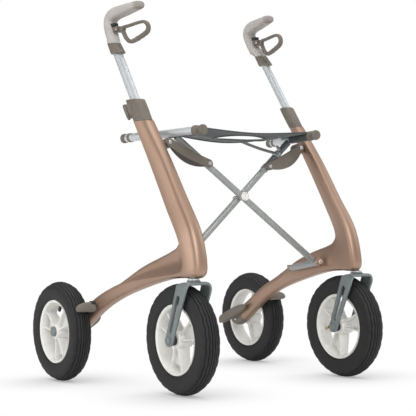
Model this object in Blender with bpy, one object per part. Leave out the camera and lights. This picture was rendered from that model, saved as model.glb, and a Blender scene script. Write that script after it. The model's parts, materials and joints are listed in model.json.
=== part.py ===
"""Folding rollator walker: two moulded side frames joined by a scissor cross with a fabric seat.

Metres, +Z up, floor at Z = 0, front towards -Y. "right" and "left" are the user's own sides: right is -X.
"""
import bmesh
import bpy
from math import atan2, cos, pi, radians, sin, sqrt, tan
from mathutils import Matrix, Vector

# Clearances, the length of a sharp step on a turned piece, and how far a cutter runs past a face
FIT = 0.0003
RUNNING = 0.0012
SHOULDER = 0.0002
PAST = 0.0200
ROUND_SIDES = 12

# Wheels
TYRE_R = 0.1272
TYRE_HALF_W = 0.0255
WHEEL_SEGMENTS = 28
TREAD_HALF_W = 0.0120
TREAD_CROWN = 0.0080
TYRE_SHOULDER = 0.0260
BEAD_R = 0.0808
BEAD_HALF_W = 0.0180
RIM_HALF_W = 0.0195
RIM_WALL = 0.0090
RIM_FILLET = 0.0035
HUB_R = 0.0200
HUB_HALF_W = 0.0200
WEB_HALF_W = 0.0070
SPOKES = 3
WINDOW = radians(84)
WINDOW_TAPER = 0.90
AXLE_R = 0.0060
AXLE_HEAD_R = 0.0105
AXLE_HEAD = 0.0050
REAR_WHEEL_X = 0.3060
WHEELBASE = 0.4650

# Caster
CASTER_X = 0.2426
CASTER_Y = -0.2850
CASTER_TRAIL = 0.0525
FORK_GAP = 0.0045
FORK_THICK = 0.0075
FORK_FOOT_W = 0.0270
FORK_SLOT_W = 0.0085
FORK_SLOT_ENDS = (0.16, 0.80)
FORK_RISE = 0.0035
FORK_CORNER = 0.0120
CROWN_AHEAD = 0.0060
CROWN_HALF_W = 0.0150
STEM_CONE_R = 0.0155
STEM_NECK_R = 0.0110
STEM_NECK_RISE = 0.0085
STEM_CHAMFER = 0.0015
STEM_PIN_R = 0.0075
STEM_PIN_LENGTH = 0.0400

# Side frame: rear or top edge, front or bottom edge, mid X, half thickness, toe, depth of the outer scoop, and how
# far Y and Z are given from the rear axle instead of from the middle and the top of the wheels
FRAME_STATIONS = (
    ((-0.0560, 0.3839), (-0.1060, 0.3839), 0.2345, 0.0150, 13, 0.00, 0),
    ((-0.1310, 0.2694), (-0.1710, 0.2924), 0.2350, 0.0152, 13, 0.00, 0),
    ((-0.1900, 0.1714), (-0.2360, 0.1954), 0.2350, 0.0160, 13, 0.05, 0),
    ((-0.2230, 0.1064), (-0.2870, 0.1184), 0.2365, 0.0175, 12, 0.35, 0),
    ((-0.2120, 0.0824), (-0.3060, 0.0444), 0.2380, 0.0185, 10, 0.55, 0),
    ((-0.1880, 0.0724), (-0.2960, 0.0129), 0.2395, 0.0190, 8, 0.60, 0),
    ((-0.1600, 0.0649), (-0.2450, 0.0114), 0.2405, 0.0190, 6, 0.60, 0),
    ((-0.1250, 0.0554), (-0.1800, 0.0069), 0.2415, 0.0185, 5, 0.55, 0),
    ((-0.14238, 0.07892), (-0.16637, 0.03192), 0.2440, 0.0170, 3, 0.35, 0.35),
    ((-0.1155, 0.07272), (-0.1245, 0.03722), 0.2485, 0.0160, 2, 0.10, 0.6),
    ((-0.09262, 0.07252), (-0.10762, 0.03852), 0.2545, 0.0160, 2, 0.00, 0.85),
    ((-0.0575, 0.0536), (-0.0755, 0.0196), 0.2600, 0.0160, 0, 0.00, 1),
    ((0.0025, 0.0226), (-0.0105, -0.0174), 0.2620, 0.0170, 0, 0.00, 1),
    ((0.0255, 0.0106), (0.0175, -0.0164), 0.2620, 0.0140, 0, 0.00, 1),
)
SECTION_POINTS = 12
SECTION_POWER = 2.8
STATION_STEPS = 2

# Handle: the slide axis runs through this point of the collar's top
HANDLE_X = 0.2335
HANDLE_Y = -0.0395
HANDLE_AXIS = (-0.020, 0.551, 0.834)
HANDLE_TOE = radians(13)
HANDLE_HALF_DEPTH = 0.0130
HANDLE_HALF_WIDTH = 0.0083
HANDLE_INSERT = 0.1700
HANDLE_DROP = 0.1200
HANDLE_SHOWN = 0.1480
COLLAR_SEAT = 0.0005
COLLAR_HEIGHT = 0.0555
COLLAR_HALF_DEPTH = 0.0222
COLLAR_HALF_WIDTH = 0.0172
COLLAR_POWER = 2.5
SLEEVE_LENGTH = 0.0330
SLEEVE_END = 0.0125
SLEEVE_RIM = 0.0030
SLEEVE_FLARE = 1.03
SLEEVE_HALF_DEPTH = 0.0182
SLEEVE_HALF_WIDTH = 0.0160
KNOB_TOE = radians(42)
KNOB_RISE = 0.0085
KNOB_HALF_LENGTH = 0.0225
KNOB_HALF_WIDTH = 0.0135
KNOB_HUB_R = 0.0085
KNOB_THICK = 0.0130
KNOB_NECK = 0.0035
KNOB_CHAMFER = 0.0025
STUD_R = 0.0030

# Grip: centre Y, height over the collar's top, half height across the bar, half width in X and X of the centre
GRIP_STATIONS = (
    (0.0755, 0.1680, 0.0150, 0.0155, 0.2240),
    (0.0880, 0.1900, 0.0150, 0.0158, 0.2222),
    (0.0945, 0.2090, 0.0155, 0.0165, 0.2198),
    (0.0900, 0.2230, 0.0162, 0.0175, 0.2172),
    (0.0720, 0.2310, 0.0158, 0.0180, 0.2140),
    (0.0400, 0.2340, 0.0142, 0.0180, 0.2090),
    (0.0080, 0.2365, 0.0120, 0.0172, 0.2042),
    (-0.0160, 0.2380, 0.0098, 0.0150, 0.2008),
    (-0.0245, 0.2375, 0.0062, 0.0095, 0.1996),
)
GRIP_POINTS = 10

# Brake lever, with heights over the collar's top: pivot, then the loop's outline and ring width
LEVER_PIVOT = (0.2190, 0.0530, 0.1870)
LEVER_TOE = radians(7.5)
LEVER_LOOP = (
    (0.040, 0.1880), (0.006, 0.1905), (-0.030, 0.1922), (-0.049, 0.1895), (-0.0600, 0.1790), (-0.0580, 0.1665),
    (-0.039, 0.1585), (-0.006, 0.1505), (0.010, 0.1505), (0.024, 0.1600), (0.034, 0.1750),
)
LEVER_RING = 0.0040
LEVER_HALF_THICK = 0.0055
LEVER_HUB_R = 0.0080
LEVER_PIN_R = 0.0030
BRACKET_CHEEK = 0.0035
BRACKET_REACH = 0.0138
BRACKET_DROP = 0.0048
BRACKET_RISE = 0.0072

# Brake bar in front of the rear tyre: its angle round the wheel, and its hinge near the bar's upper edge
BRAKE_ANGLE = radians(28)
BRAKE_HINGE_UP = 0.0065
BRAKE_PIN_R = 0.0035
BRAKE_GAP = 0.0030
BRAKE_HALF_HEIGHT = 0.0125
BRAKE_HALF_DEPTH = 0.0080
BRAKE_INNER_X = 0.2745
BRAKE_PIN_REACH = 0.0200
BRAKE_WASHER = 0.0020
BRAKE_WASHER_R = 0.0075

# Tipping pedal at the rear end of the leg
PEDAL_AHEAD = 0.0675
PEDAL_BEHIND = 0.0455
PEDAL_WIDTH = 0.0250
PEDAL_HALF_HEIGHT = 0.0120
PEDAL_DIP = 0.0040
PEDAL_RIBS = 5
PEDAL_POINTS = 8

# Folding cross: everything lies in a plane that leans back, square to the fold axis; heights are from the wheels' top
CROSS_LEAN = radians(8)
CROSS_Y = -0.1500
CROSS_Z = 0.1989
HINGE_X = 0.2060
HINGE_Z = 0.0314
SEAT_Z = 0.3514
BRACE_R = 0.0080
BRACE_PITCH = 0.0185
HINGE_R = 0.0085
HINGE_PIN_R = 0.0040
HINGE_FRONT = 0.0120
HINGE_LENGTH = 0.1100
EAR_THICK = 0.0060
PIN_PROUD = 0.0010
BRACKET_PLATE = 0.0050
CENTRE_BOLT_R = 0.0040
CENTRE_CAP_R = 0.0110
CENTRE_CAP = 0.0050

# Seat
SEAT_TUBE_R = 0.0100
SEAT_TOE = radians(9)
SEAT_FRONT_Y = -0.2050
SEAT_REAR_Y = -0.0750
FRONT_CAP_R = 0.0120
FRONT_CAP_NECK_R = 0.0095
FRONT_CAP_STEP = 0.0145
FRONT_CAP_BALL = 0.0215
FRONT_CAP_LENGTH = 0.0340
REST_FRONT_Y = -0.1000
REST_REAR_Y = 0.0320
REST_SPREAD = 0.0110
REST_CAP_R = 0.0115
REST_PLATE = 0.0035
SLING_FRONT_Y = -0.2000
SLING_REAR_Y = -0.0800
SLING_THICK = 0.0030
SLING_LIFT = 0.0050
SLING_EDGE_GAP = 0.0014
SLING_SAG = 0.0060
SLING_POINTS = 32
GRAB_HALF_X = 0.0720
GRAB_HALF_Y = 0.0360
GRAB_Y = -0.1420

# Link arms between posts and braces
LINK_PIN_X = 0.2060
LINK_PIN_Z = 0.3264
LINK_END_X = 0.0990
LINK_HALF_THICK = 0.0035
LINK_EDGE = 0.0100
LINK_BELLY = 0.0160
LINK_PIN_R = 0.0030
LINK_HEAD = 0.0025
LINK_HEAD_R = 0.0057
LINK_BOSS = 0.0200
RIGHT_LINK_BOSS_R = 0.0121
LEFT_LINK_BOSS_R = 0.0139

AXLE_Z = TYRE_R * cos(pi / WHEEL_SEGMENTS)
FRONT_Y = CASTER_Y + CASTER_TRAIL
REAR_Y = FRONT_Y + WHEELBASE
WHEEL_TOP = AXLE_Z + TYRE_R
COLLAR_TOP = WHEEL_TOP + FRAME_STATIONS[0][0][1] + COLLAR_SEAT + COLLAR_HEIGHT
HANDLE_POINT = (HANDLE_X, HANDLE_Y, COLLAR_TOP)

FOLD_AXIS = Vector((0, cos(CROSS_LEAN), -sin(CROSS_LEAN)))
CROSS_UP = Vector((0, sin(CROSS_LEAN), cos(CROSS_LEAN)))
SLIDE_AXIS = Vector(HANDLE_AXIS).normalized()

for old in list(bpy.data.objects):
    bpy.data.objects.remove(old, do_unlink=True)


def finish(name, colour, roughness, metallic):
    """A plain Principled material."""
    material = bpy.data.materials.new(name)
    material.use_nodes = True
    shader = material.node_tree.nodes["Principled BSDF"]
    shader.inputs["Base Color"].default_value = (*colour, 1)
    shader.inputs["Roughness"].default_value = roughness
    shader.inputs["Metallic"].default_value = metallic
    return material


COPPER = finish("copper_lacquer", (0.48, 0.28, 0.19), 0.32, 0.6)
TAUPE = finish("taupe_plastic", (0.19, 0.16, 0.13), 0.5, 0.0)
GREIGE = finish("grip_plastic", (0.52, 0.48, 0.45), 0.55, 0.0)
SILVER = finish("silver_anodised", (0.58, 0.61, 0.63), 0.3, 0.9)
GREY = finish("grey_paint", (0.30, 0.31, 0.30), 0.35, 0.5)
FORK_PAINT = finish("fork_paint", (0.18, 0.21, 0.205), 0.4, 0.4)
IVORY = finish("rim_plastic", (0.80, 0.79, 0.74), 0.4, 0.0)
RUBBER = finish("tyre_rubber", (0.03, 0.03, 0.032), 0.8, 0.0)
STEEL = finish("zinc_steel", (0.45, 0.45, 0.45), 0.35, 1.0)
CLOTH = finish("sling_cloth", (0.06, 0.065, 0.07), 0.9, 0.0)


def body(name, origin, parent=None):
    """An empty on a joint's axis that carries the pieces of one moving body."""
    empty = bpy.data.objects.new(name + "_origin", None)
    bpy.context.collection.objects.link(empty)
    empty["at"] = tuple(origin)
    empty.parent = parent
    empty.location = Vector(origin) - (Vector(parent["at"]) if parent else Vector())
    return empty


def piece(name, mesh, material, carrier):
    """A named object on its body's empty; the mesh comes in world places."""
    mesh.transform(Matrix.Translation(-Vector(carrier["at"])))
    if material:
        mesh.materials.append(material)
        mesh.shade_smooth()
        mesh.set_sharp_from_angle(angle=radians(32))
    made = bpy.data.objects.new(name, mesh)
    bpy.context.collection.objects.link(made)
    made.parent = carrier
    return made


def loft(loops, ring=False):
    """A closed mesh through loops of equal count, capped at both ends or closed into a ring."""
    shape = bmesh.new()
    rows = [[shape.verts.new(point) for point in loop] for loop in loops]
    pairs = list(zip(rows, rows[1:] + ([rows[0]] if ring else [])))
    for row, following in pairs:
        for i in range(len(row)):
            j = (i + 1) % len(row)
            shape.faces.new((row[i], row[j], following[j], following[i]))
    if not ring:
        shape.faces.new(rows[0])
        shape.faces.new(rows[-1])
    bmesh.ops.recalc_face_normals(shape, faces=shape.faces)
    mesh = bpy.data.meshes.new("loft")
    shape.to_mesh(mesh)
    shape.free()
    return mesh


def across(axis):
    """Two unit vectors square to an axis, the first as low as it can point."""
    axis = Vector(axis).normalized()
    low = Vector((0, 0, -1)) if abs(axis.z) < 0.9 else Vector((0, -1, 0))
    low = (low - axis * low.dot(axis)).normalized()
    return low, axis.cross(low)


def circle(centre, axis, radius, count=ROUND_SIDES):
    """Points of a circle, with a flat side and not a corner at its lowest place."""
    low, side = across(axis)
    turns = [2 * pi * (k + 0.5) / count for k in range(count)]
    return [Vector(centre) + radius * (cos(t) * low + sin(t) * side) for t in turns]


def turned(start, axis, steps, count=ROUND_SIDES):
    """A solid of circles: steps are (distance along the axis, radius)."""
    axis = Vector(axis).normalized()
    return loft([circle(Vector(start) + axis * d, axis, r, count) for d, r in steps])


def turned_ring(centre, axis, profile, count):
    """A bored solid: the closed profile holds (distance along the axis, radius)."""
    axis = Vector(axis).normalized()
    return loft([circle(Vector(centre) + axis * d, axis, r, count) for d, r in profile], ring=True)


def cut(target, name, mesh, carrier):
    """Takes a hidden cutter out of a piece."""
    cutter = piece(name, mesh, None, carrier)
    cutter.hide_render = True
    cutter.display_type = "WIRE"
    modifier = target.modifiers.new(name, "BOOLEAN")
    modifier.operation = "DIFFERENCE"
    modifier.object = cutter


def smooth_rows(rows, steps):
    """Catmull-Rom points through rows of numbers, with steps spans between two rows."""
    out = []
    for i in range(len(rows) - 1):
        a, b, c, d = (rows[min(max(k, 0), len(rows) - 1)] for k in range(i - 1, i + 3))
        for step in range(steps):
            t = step / steps
            weights = (
                -0.5 * t + t * t - 0.5 * t ** 3,
                1 - 2.5 * t * t + 1.5 * t ** 3,
                0.5 * t + 2 * t * t - 1.5 * t ** 3,
                -0.5 * t * t + 0.5 * t ** 3,
            )
            out.append([sum(w * v for w, v in zip(weights, values)) for values in zip(a, b, c, d)])
    out.append(list(rows[-1]))
    return out


def rounded(count, power):
    """Unit superellipse points as (along, across)."""
    points = []
    for k in range(count):
        t = 2 * pi * (k + 0.5) / count
        along = abs(cos(t)) ** (2 / power) * (1 if cos(t) > 0 else -1)
        points.append((along, abs(sin(t)) ** (2 / power) * (1 if sin(t) > 0 else -1)))
    return points


def oval(centre, axis, half_depth, half_width, toe, side, count=ROUND_SIDES):
    """An oval loop square to an axis, its long way toed out towards the rear."""
    axis = Vector(axis).normalized()
    long_way = Vector((side * sin(toe), cos(toe), 0))
    long_way = (long_way - axis * long_way.dot(axis)).normalized()
    short_way = axis.cross(long_way)
    turns = [2 * pi * (k + 0.5) / count for k in range(count)]
    return [Vector(centre) + long_way * half_depth * cos(t) + short_way * half_width * sin(t) for t in turns]


def sided(side, point):
    return Vector((side * point[0], point[1], point[2]))


def cross_point(x, z, behind=0.0):
    """A point of the leaning cross plane at a height, moved back along the fold axis."""
    up = (z - CROSS_Z) / CROSS_UP.z
    return Vector((x, CROSS_Y, WHEEL_TOP + CROSS_Z)) + CROSS_UP * up + FOLD_AXIS * behind


def frame_row(station):
    """A station of the side frame in place: the post and knee stand over the wheels, the leg ends at the rear axle."""
    rear, front, x, half, toe, scoop, share = FRAME_STATIONS[station]
    base = Vector((0, WHEEL_TOP)).lerp(Vector((REAR_Y, AXLE_Z)), share)
    return (*(Vector(rear) + base), *(Vector(front) + base), x, half, toe, scoop)


def frame_loop(values, side):
    """One section of the side frame: a fat front or lower half, and a web scooped from outside behind it."""
    ry, rz, fy, fz, x, half, toe, scoop = values
    loop = []
    for along, thick in rounded(SECTION_POINTS, SECTION_POWER):
        share = (1 + along) / 2
        y = fy + (ry - fy) * share
        z = fz + (rz - fz) * share
        if thick > 0 and along > 0:
            thick *= 1 - scoop
        toed = tan(radians(toe)) * (y - (ry + fy) / 2)
        loop.append(Vector((side * (x + thick * half + toed), y, z)))
    return loop


def make_side_frame(label, side, carrier):
    rows = [frame_row(station) for station in range(len(FRAME_STATIONS))]
    loops = [frame_loop(values, side) for values in smooth_rows(rows, STATION_STEPS)]
    frame = piece(label + "_side_frame", loft(loops), COPPER, carrier)
    axis = sided(side, SLIDE_AXIS)
    top = sided(side, HANDLE_POINT)
    depth = HANDLE_INSERT + HANDLE_DROP + RUNNING
    bore = [
        oval(top + axis * d, axis, HANDLE_HALF_DEPTH + FIT, HANDLE_HALF_WIDTH + FIT, HANDLE_TOE, side)
        for d in (-depth, PAST)
    ]
    cut(frame, label + "_handle_bore", loft(bore), carrier)
    seat = Vector((side * CASTER_X, CASTER_Y, AXLE_Z + TYRE_R))
    stem_hole = STEM_PIN_R + FIT
    stem_steps = ((0, stem_hole), (STEM_PIN_LENGTH + RUNNING, stem_hole))
    cut(frame, label + "_stem_bore", turned(seat, (0, 0, 1), stem_steps), carrier)
    wheel = Vector((side * REAR_WHEEL_X, REAR_Y, AXLE_Z))
    axle_hole = AXLE_R + FIT
    axle_steps = ((0, axle_hole), (rear_axle_length() + PAST, axle_hole))
    cut(frame, label + "_axle_bore", turned(wheel, (-side, 0, 0), axle_steps), carrier)


def rear_axle_length():
    """From the rear wheel's middle to the inner face of the leg."""
    _, _, leg_x, leg_half = FRAME_STATIONS[-2][:4]
    return REAR_WHEEL_X - leg_x + leg_half


def make_collar(label, side, carrier, knob_carrier):
    axis = sided(side, SLIDE_AXIS)
    top = sided(side, HANDLE_POINT)
    low = top - axis * (COLLAR_HEIGHT / axis.z)
    loops = [collar_loop(side, centre) for centre in (low, top)]
    collar = piece(label + "_collar", loft(loops), TAUPE, carrier)
    bore = [
        oval(centre, axis, HANDLE_HALF_DEPTH + FIT, HANDLE_HALF_WIDTH + FIT, HANDLE_TOE, side)
        for centre in (low - axis * PAST, top + axis * PAST)
    ]
    cut(collar, label + "_collar_bore", loft(bore), carrier)
    stud_axis = knob_axis(side)
    start = knob_origin(side)
    tube_gap = HANDLE_HALF_DEPTH + 2 * FIT
    face = knob_seat(side)
    stud = ((0, STUD_R + FIT), (face + PAST, STUD_R + FIT))
    cut(collar, label + "_stud_bore", turned(start, stud_axis, stud), carrier)
    rim = KNOB_CHAMFER
    steps = (
        (tube_gap, STUD_R, STUD_R), (face - SHOULDER, STUD_R, STUD_R), (face, KNOB_HUB_R, KNOB_HUB_R),
        (face + KNOB_NECK, KNOB_HUB_R, KNOB_HUB_R),
        (face + KNOB_NECK + SHOULDER, KNOB_HALF_WIDTH, KNOB_HALF_LENGTH),
        (face + KNOB_THICK - rim, KNOB_HALF_WIDTH, KNOB_HALF_LENGTH),
        (face + KNOB_THICK, KNOB_HALF_WIDTH - rim, KNOB_HALF_LENGTH - rim),
    )
    loops = []
    for distance, half_width, half_length in steps:
        centre = start + stud_axis * distance
        loops.append(drawn_out(circle(centre, stud_axis, half_width), centre, axis, half_length / half_width))
    piece(label + "_clamp_knob", loft(loops), TAUPE, knob_carrier)


def collar_loop(side, centre):
    """A level section of the collar, its long way toed out towards the rear."""
    loop = []
    for along, thick in rounded(ROUND_SIDES, COLLAR_POWER):
        offset = along * COLLAR_HALF_DEPTH
        x = side * (thick * COLLAR_HALF_WIDTH + tan(HANDLE_TOE) * offset)
        loop.append(centre + Vector((x, offset, 0)))
    return loop


def drawn_out(loop, centre, way, share):
    """A loop stretched along a way from its centre."""
    return [point + way * ((point - centre).dot(way) * (share - 1)) for point in loop]


def knob_axis(side):
    """The clamp stud leaves the collar's outer rear corner, square to the tube."""
    axis = sided(side, SLIDE_AXIS)
    back = Vector((side * sin(KNOB_TOE), cos(KNOB_TOE), 0))
    return (back - axis * back.dot(axis)).normalized()


def knob_origin(side):
    axis = sided(side, SLIDE_AXIS)
    return sided(side, HANDLE_POINT) - axis * (COLLAR_HEIGHT / axis.z / 2 - KNOB_RISE)


def knob_seat(side):
    """How far along the stud the knob's hub clears the collar."""
    stud_axis = knob_axis(side)
    return max(point.dot(stud_axis) for point in collar_loop(side, Vector())) + 3 * FIT


def make_handle(label, side, carrier, lever_carrier):
    axis = sided(side, SLIDE_AXIS)
    top = sided(side, HANDLE_POINT)
    sleeve_at = top + axis * HANDLE_SHOWN
    grip_at = sleeve_at + axis * SLEEVE_LENGTH
    tube = [
        oval(centre, axis, HANDLE_HALF_DEPTH, HANDLE_HALF_WIDTH, HANDLE_TOE, side)
        for centre in (top - axis * HANDLE_INSERT, grip_at - axis * SLEEVE_END)
    ]
    piece(label + "_handle_tube", loft(tube), SILVER, carrier)
    level = Vector((0, 0, 1))
    flare = ((0, SLEEVE_FLARE), (SLEEVE_RIM, SLEEVE_FLARE), (SLEEVE_LENGTH, 1.0))
    shell = [
        oval(sleeve_at + axis * d, level, SLEEVE_HALF_DEPTH * k, SLEEVE_HALF_WIDTH * k, HANDLE_TOE, side)
        for d, k in flare
    ]
    sleeve = piece(label + "_grip_sleeve", loft(shell), TAUPE, carrier)
    bore = [
        oval(sleeve_at + axis * d, axis, HANDLE_HALF_DEPTH + FIT, HANDLE_HALF_WIDTH + FIT, HANDLE_TOE, side)
        for d in (-PAST, SLEEVE_LENGTH - SLEEVE_END + FIT)
    ]
    cut(sleeve, label + "_sleeve_bore", loft(bore), carrier)
    foot = grip_at + axis * FIT
    loops = [oval(foot, level, SLEEVE_HALF_DEPTH, SLEEVE_HALF_WIDTH, HANDLE_TOE, side, GRIP_POINTS)]
    rows = smooth_rows(GRIP_STATIONS, STATION_STEPS)
    for i, (y, z, high, wide, x) in enumerate(rows):
        ahead = rows[min(i + 1, len(rows) - 1)]
        behind = rows[max(i - 1, 0)]
        run = Vector((side * (ahead[4] - behind[4]), ahead[0] - behind[0], ahead[1] - behind[1]))
        loops.append(grip_loop(Vector((side * x, y, COLLAR_TOP + z)), run.normalized(), high, wide))
    piece(label + "_grip", loft(loops), GREIGE, carrier)
    make_lever(label, side, carrier, lever_carrier)


def grip_loop(centre, run, high, wide):
    """A section of the bent grip: wide along X, high towards the outside of its bend."""
    wide_way = Vector((-1, 0, 0)) + run * run.x
    wide_way.normalize()
    high_way = wide_way.cross(run)
    turns = [2 * pi * (k + 0.5) / GRIP_POINTS for k in range(GRIP_POINTS)]
    return [centre + high_way * high * cos(t) + wide_way * wide * sin(t) for t in turns]


def lever_pivot(side):
    return sided(side, LEVER_PIVOT) + Vector((0, 0, COLLAR_TOP))


def lever_x(side, y):
    """The lever's middle at a given Y: it toes in towards the front."""
    return side * (LEVER_PIVOT[0] - tan(LEVER_TOE) * (LEVER_PIVOT[1] - y))


def make_lever(label, side, carrier, lever_carrier):
    pivot = lever_pivot(side)
    middle = Vector((sum(p[0] for p in LEVER_LOOP), sum(p[1] for p in LEVER_LOOP))) / len(LEVER_LOOP)
    outline = smooth_rows(list(LEVER_LOOP) + [LEVER_LOOP[0]], STATION_STEPS)[:-1]
    loops = []
    for edge, deep in ((1, -1), (1, 1), (-1, 1), (-1, -1)):
        loop = []
        for y, z in outline:
            out = (Vector((y, z)) - middle).normalized() * LEVER_RING * edge
            x = lever_x(side, y + out.x) + deep * LEVER_HALF_THICK
            loop.append(Vector((x, y + out.x, COLLAR_TOP + z + out.y)))
        loops.append(loop)
    lever = piece(label + "_brake_lever", loft(loops, ring=True), TAUPE, lever_carrier)
    across_x = Vector((1, 0, 0))
    hub = [circle(pivot + across_x * d, across_x, LEVER_HUB_R) for d in (-LEVER_HALF_THICK, LEVER_HALF_THICK)]
    hub_object = piece(label + "_lever_hub", loft(hub), None, lever_carrier)
    hub_object.hide_render = True
    hub_object.display_type = "WIRE"
    neck = []
    for y in (LEVER_PIVOT[1], LEVER_LOOP[-1][0] - LEVER_RING * 0.5):
        low, high = -LEVER_HUB_R * 0.7, LEVER_HUB_R * 0.7
        half = LEVER_HALF_THICK * 0.9
        corners = ((-half, low), (half, low), (half, high), (-half, high))
        neck.append([Vector((lever_x(side, y) + a, y, pivot.z + b)) for a, b in corners])
    neck_object = piece(label + "_lever_neck", loft(neck), None, lever_carrier)
    neck_object.hide_render = True
    neck_object.display_type = "WIRE"
    for part in (neck_object, hub_object):
        join = lever.modifiers.new(part.name, "BOOLEAN")
        join.operation = "UNION"
        join.object = part
    pin_reach = LEVER_HALF_THICK + RUNNING + BRACKET_CHEEK
    hole = [circle(pivot + across_x * d, across_x, LEVER_PIN_R + FIT) for d in (-PAST, PAST)]
    cut(lever, label + "_lever_bore", loft(hole), lever_carrier)
    pin = [circle(pivot + across_x * d, across_x, LEVER_PIN_R) for d in (-pin_reach, pin_reach)]
    piece(label + "_lever_pin", loft(pin), STEEL, carrier)
    make_lever_bracket(label, side, carrier, pivot, pin_reach)


def make_lever_bracket(label, side, carrier, pivot, reach):
    """A fork on the front of the grip's neck that holds the lever's pin."""
    inside = reach - BRACKET_CHEEK
    front = -LEVER_HUB_R * 0.75
    back = LEVER_HUB_R + RUNNING
    base = BRACKET_REACH
    plan = (
        (-reach, front), (-inside, front), (-inside, back), (inside, back),
        (inside, front), (reach, front), (reach, base), (-reach, base),
    )
    levels = (-BRACKET_DROP, BRACKET_RISE)
    loops = [[Vector((pivot.x + a, pivot.y + b, pivot.z + c)) for a, b in plan] for c in levels]
    bracket = piece(label + "_lever_bracket", loft(loops), TAUPE, carrier)
    hole = [circle(pivot + Vector((d, 0, 0)), (1, 0, 0), LEVER_PIN_R + FIT) for d in (-PAST, PAST)]
    cut(bracket, label + "_bracket_bore", loft(hole), carrier)


def make_wheel(label, centre, carrier):
    """A tyre on a moulded rim with broad spokes."""
    axis = Vector((1, 0, 0))
    half = (
        (BEAD_HALF_W, BEAD_R), (TYRE_HALF_W, TYRE_R - TYRE_SHOULDER), (TYRE_HALF_W * 0.9, TYRE_R - TREAD_CROWN),
        (TREAD_HALF_W, TYRE_R),
    )
    profile = [(d, r) for d, r in half] + [(-d, r) for d, r in reversed(half)]
    piece(label + "_tyre", turned_ring(centre, axis, profile, WHEEL_SEGMENTS), RUBBER, carrier)
    lip = BEAD_R - FIT / cos(pi / WHEEL_SEGMENTS)
    inner = lip - RIM_WALL
    outer_half = (
        (HUB_HALF_W, AXLE_R + FIT), (HUB_HALF_W, HUB_R), (WEB_HALF_W, HUB_R + RIM_FILLET),
        (WEB_HALF_W, inner - RIM_FILLET), (RIM_HALF_W, lip),
    )
    rim_profile = [(d, r) for d, r in outer_half] + [(-d, r) for d, r in reversed(outer_half)]
    rim = piece(label + "_rim", turned_ring(centre, axis, rim_profile, WHEEL_SEGMENTS), IVORY, carrier)
    near = HUB_R + 2 * RIM_FILLET
    far = inner - 2 * RIM_FILLET
    cut(rim, label + "_windows", wheel_windows(centre, axis, near, far), carrier)


def wheel_windows(centre, axis, near, far):
    """Cutters for the open windows between the broad, wedge-shaped spokes."""
    low, side_way = across(axis)
    windows = bmesh.new()
    for k in range(SPOKES):
        corners = []
        for r, spread, steps in ((near, WINDOW * WINDOW_TAPER, 2), (far, -WINDOW, 6)):
            for step in range(steps + 1):
                t = 2 * pi * (k + 0.5) / SPOKES + spread * (step / steps - 0.5)
                corners.append(r * (cos(t) * low + sin(t) * side_way))
        ends = (-RIM_HALF_W - PAST, RIM_HALF_W + PAST)
        rings = [[windows.verts.new(centre + axis * d + c) for c in corners] for d in ends]
        for i in range(len(corners)):
            j = (i + 1) % len(corners)
            windows.faces.new((rings[0][i], rings[0][j], rings[1][j], rings[1][i]))
        for ring in rings:
            windows.faces.new(ring)
    bmesh.ops.recalc_face_normals(windows, faces=windows.faces)
    mesh = bpy.data.meshes.new("windows")
    windows.to_mesh(mesh)
    windows.free()
    return mesh


def fork_frame(side):
    """The axle, the fork leg's direction up from it, its fore-and-aft way and its reach to the level crown."""
    axle = Vector((side * CASTER_X, FRONT_Y, AXLE_Z))
    crown_y = CASTER_Y - CROWN_AHEAD - FRONT_Y
    over_tyre = sqrt((TYRE_R + FORK_RISE) ** 2 - (abs(crown_y) - CROWN_HALF_W) ** 2)
    leg = Vector((0, crown_y, over_tyre + FORK_THICK / 2))
    up = leg.normalized()
    return axle, up, Vector((0, up.z, -up.y)), leg.length


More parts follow.
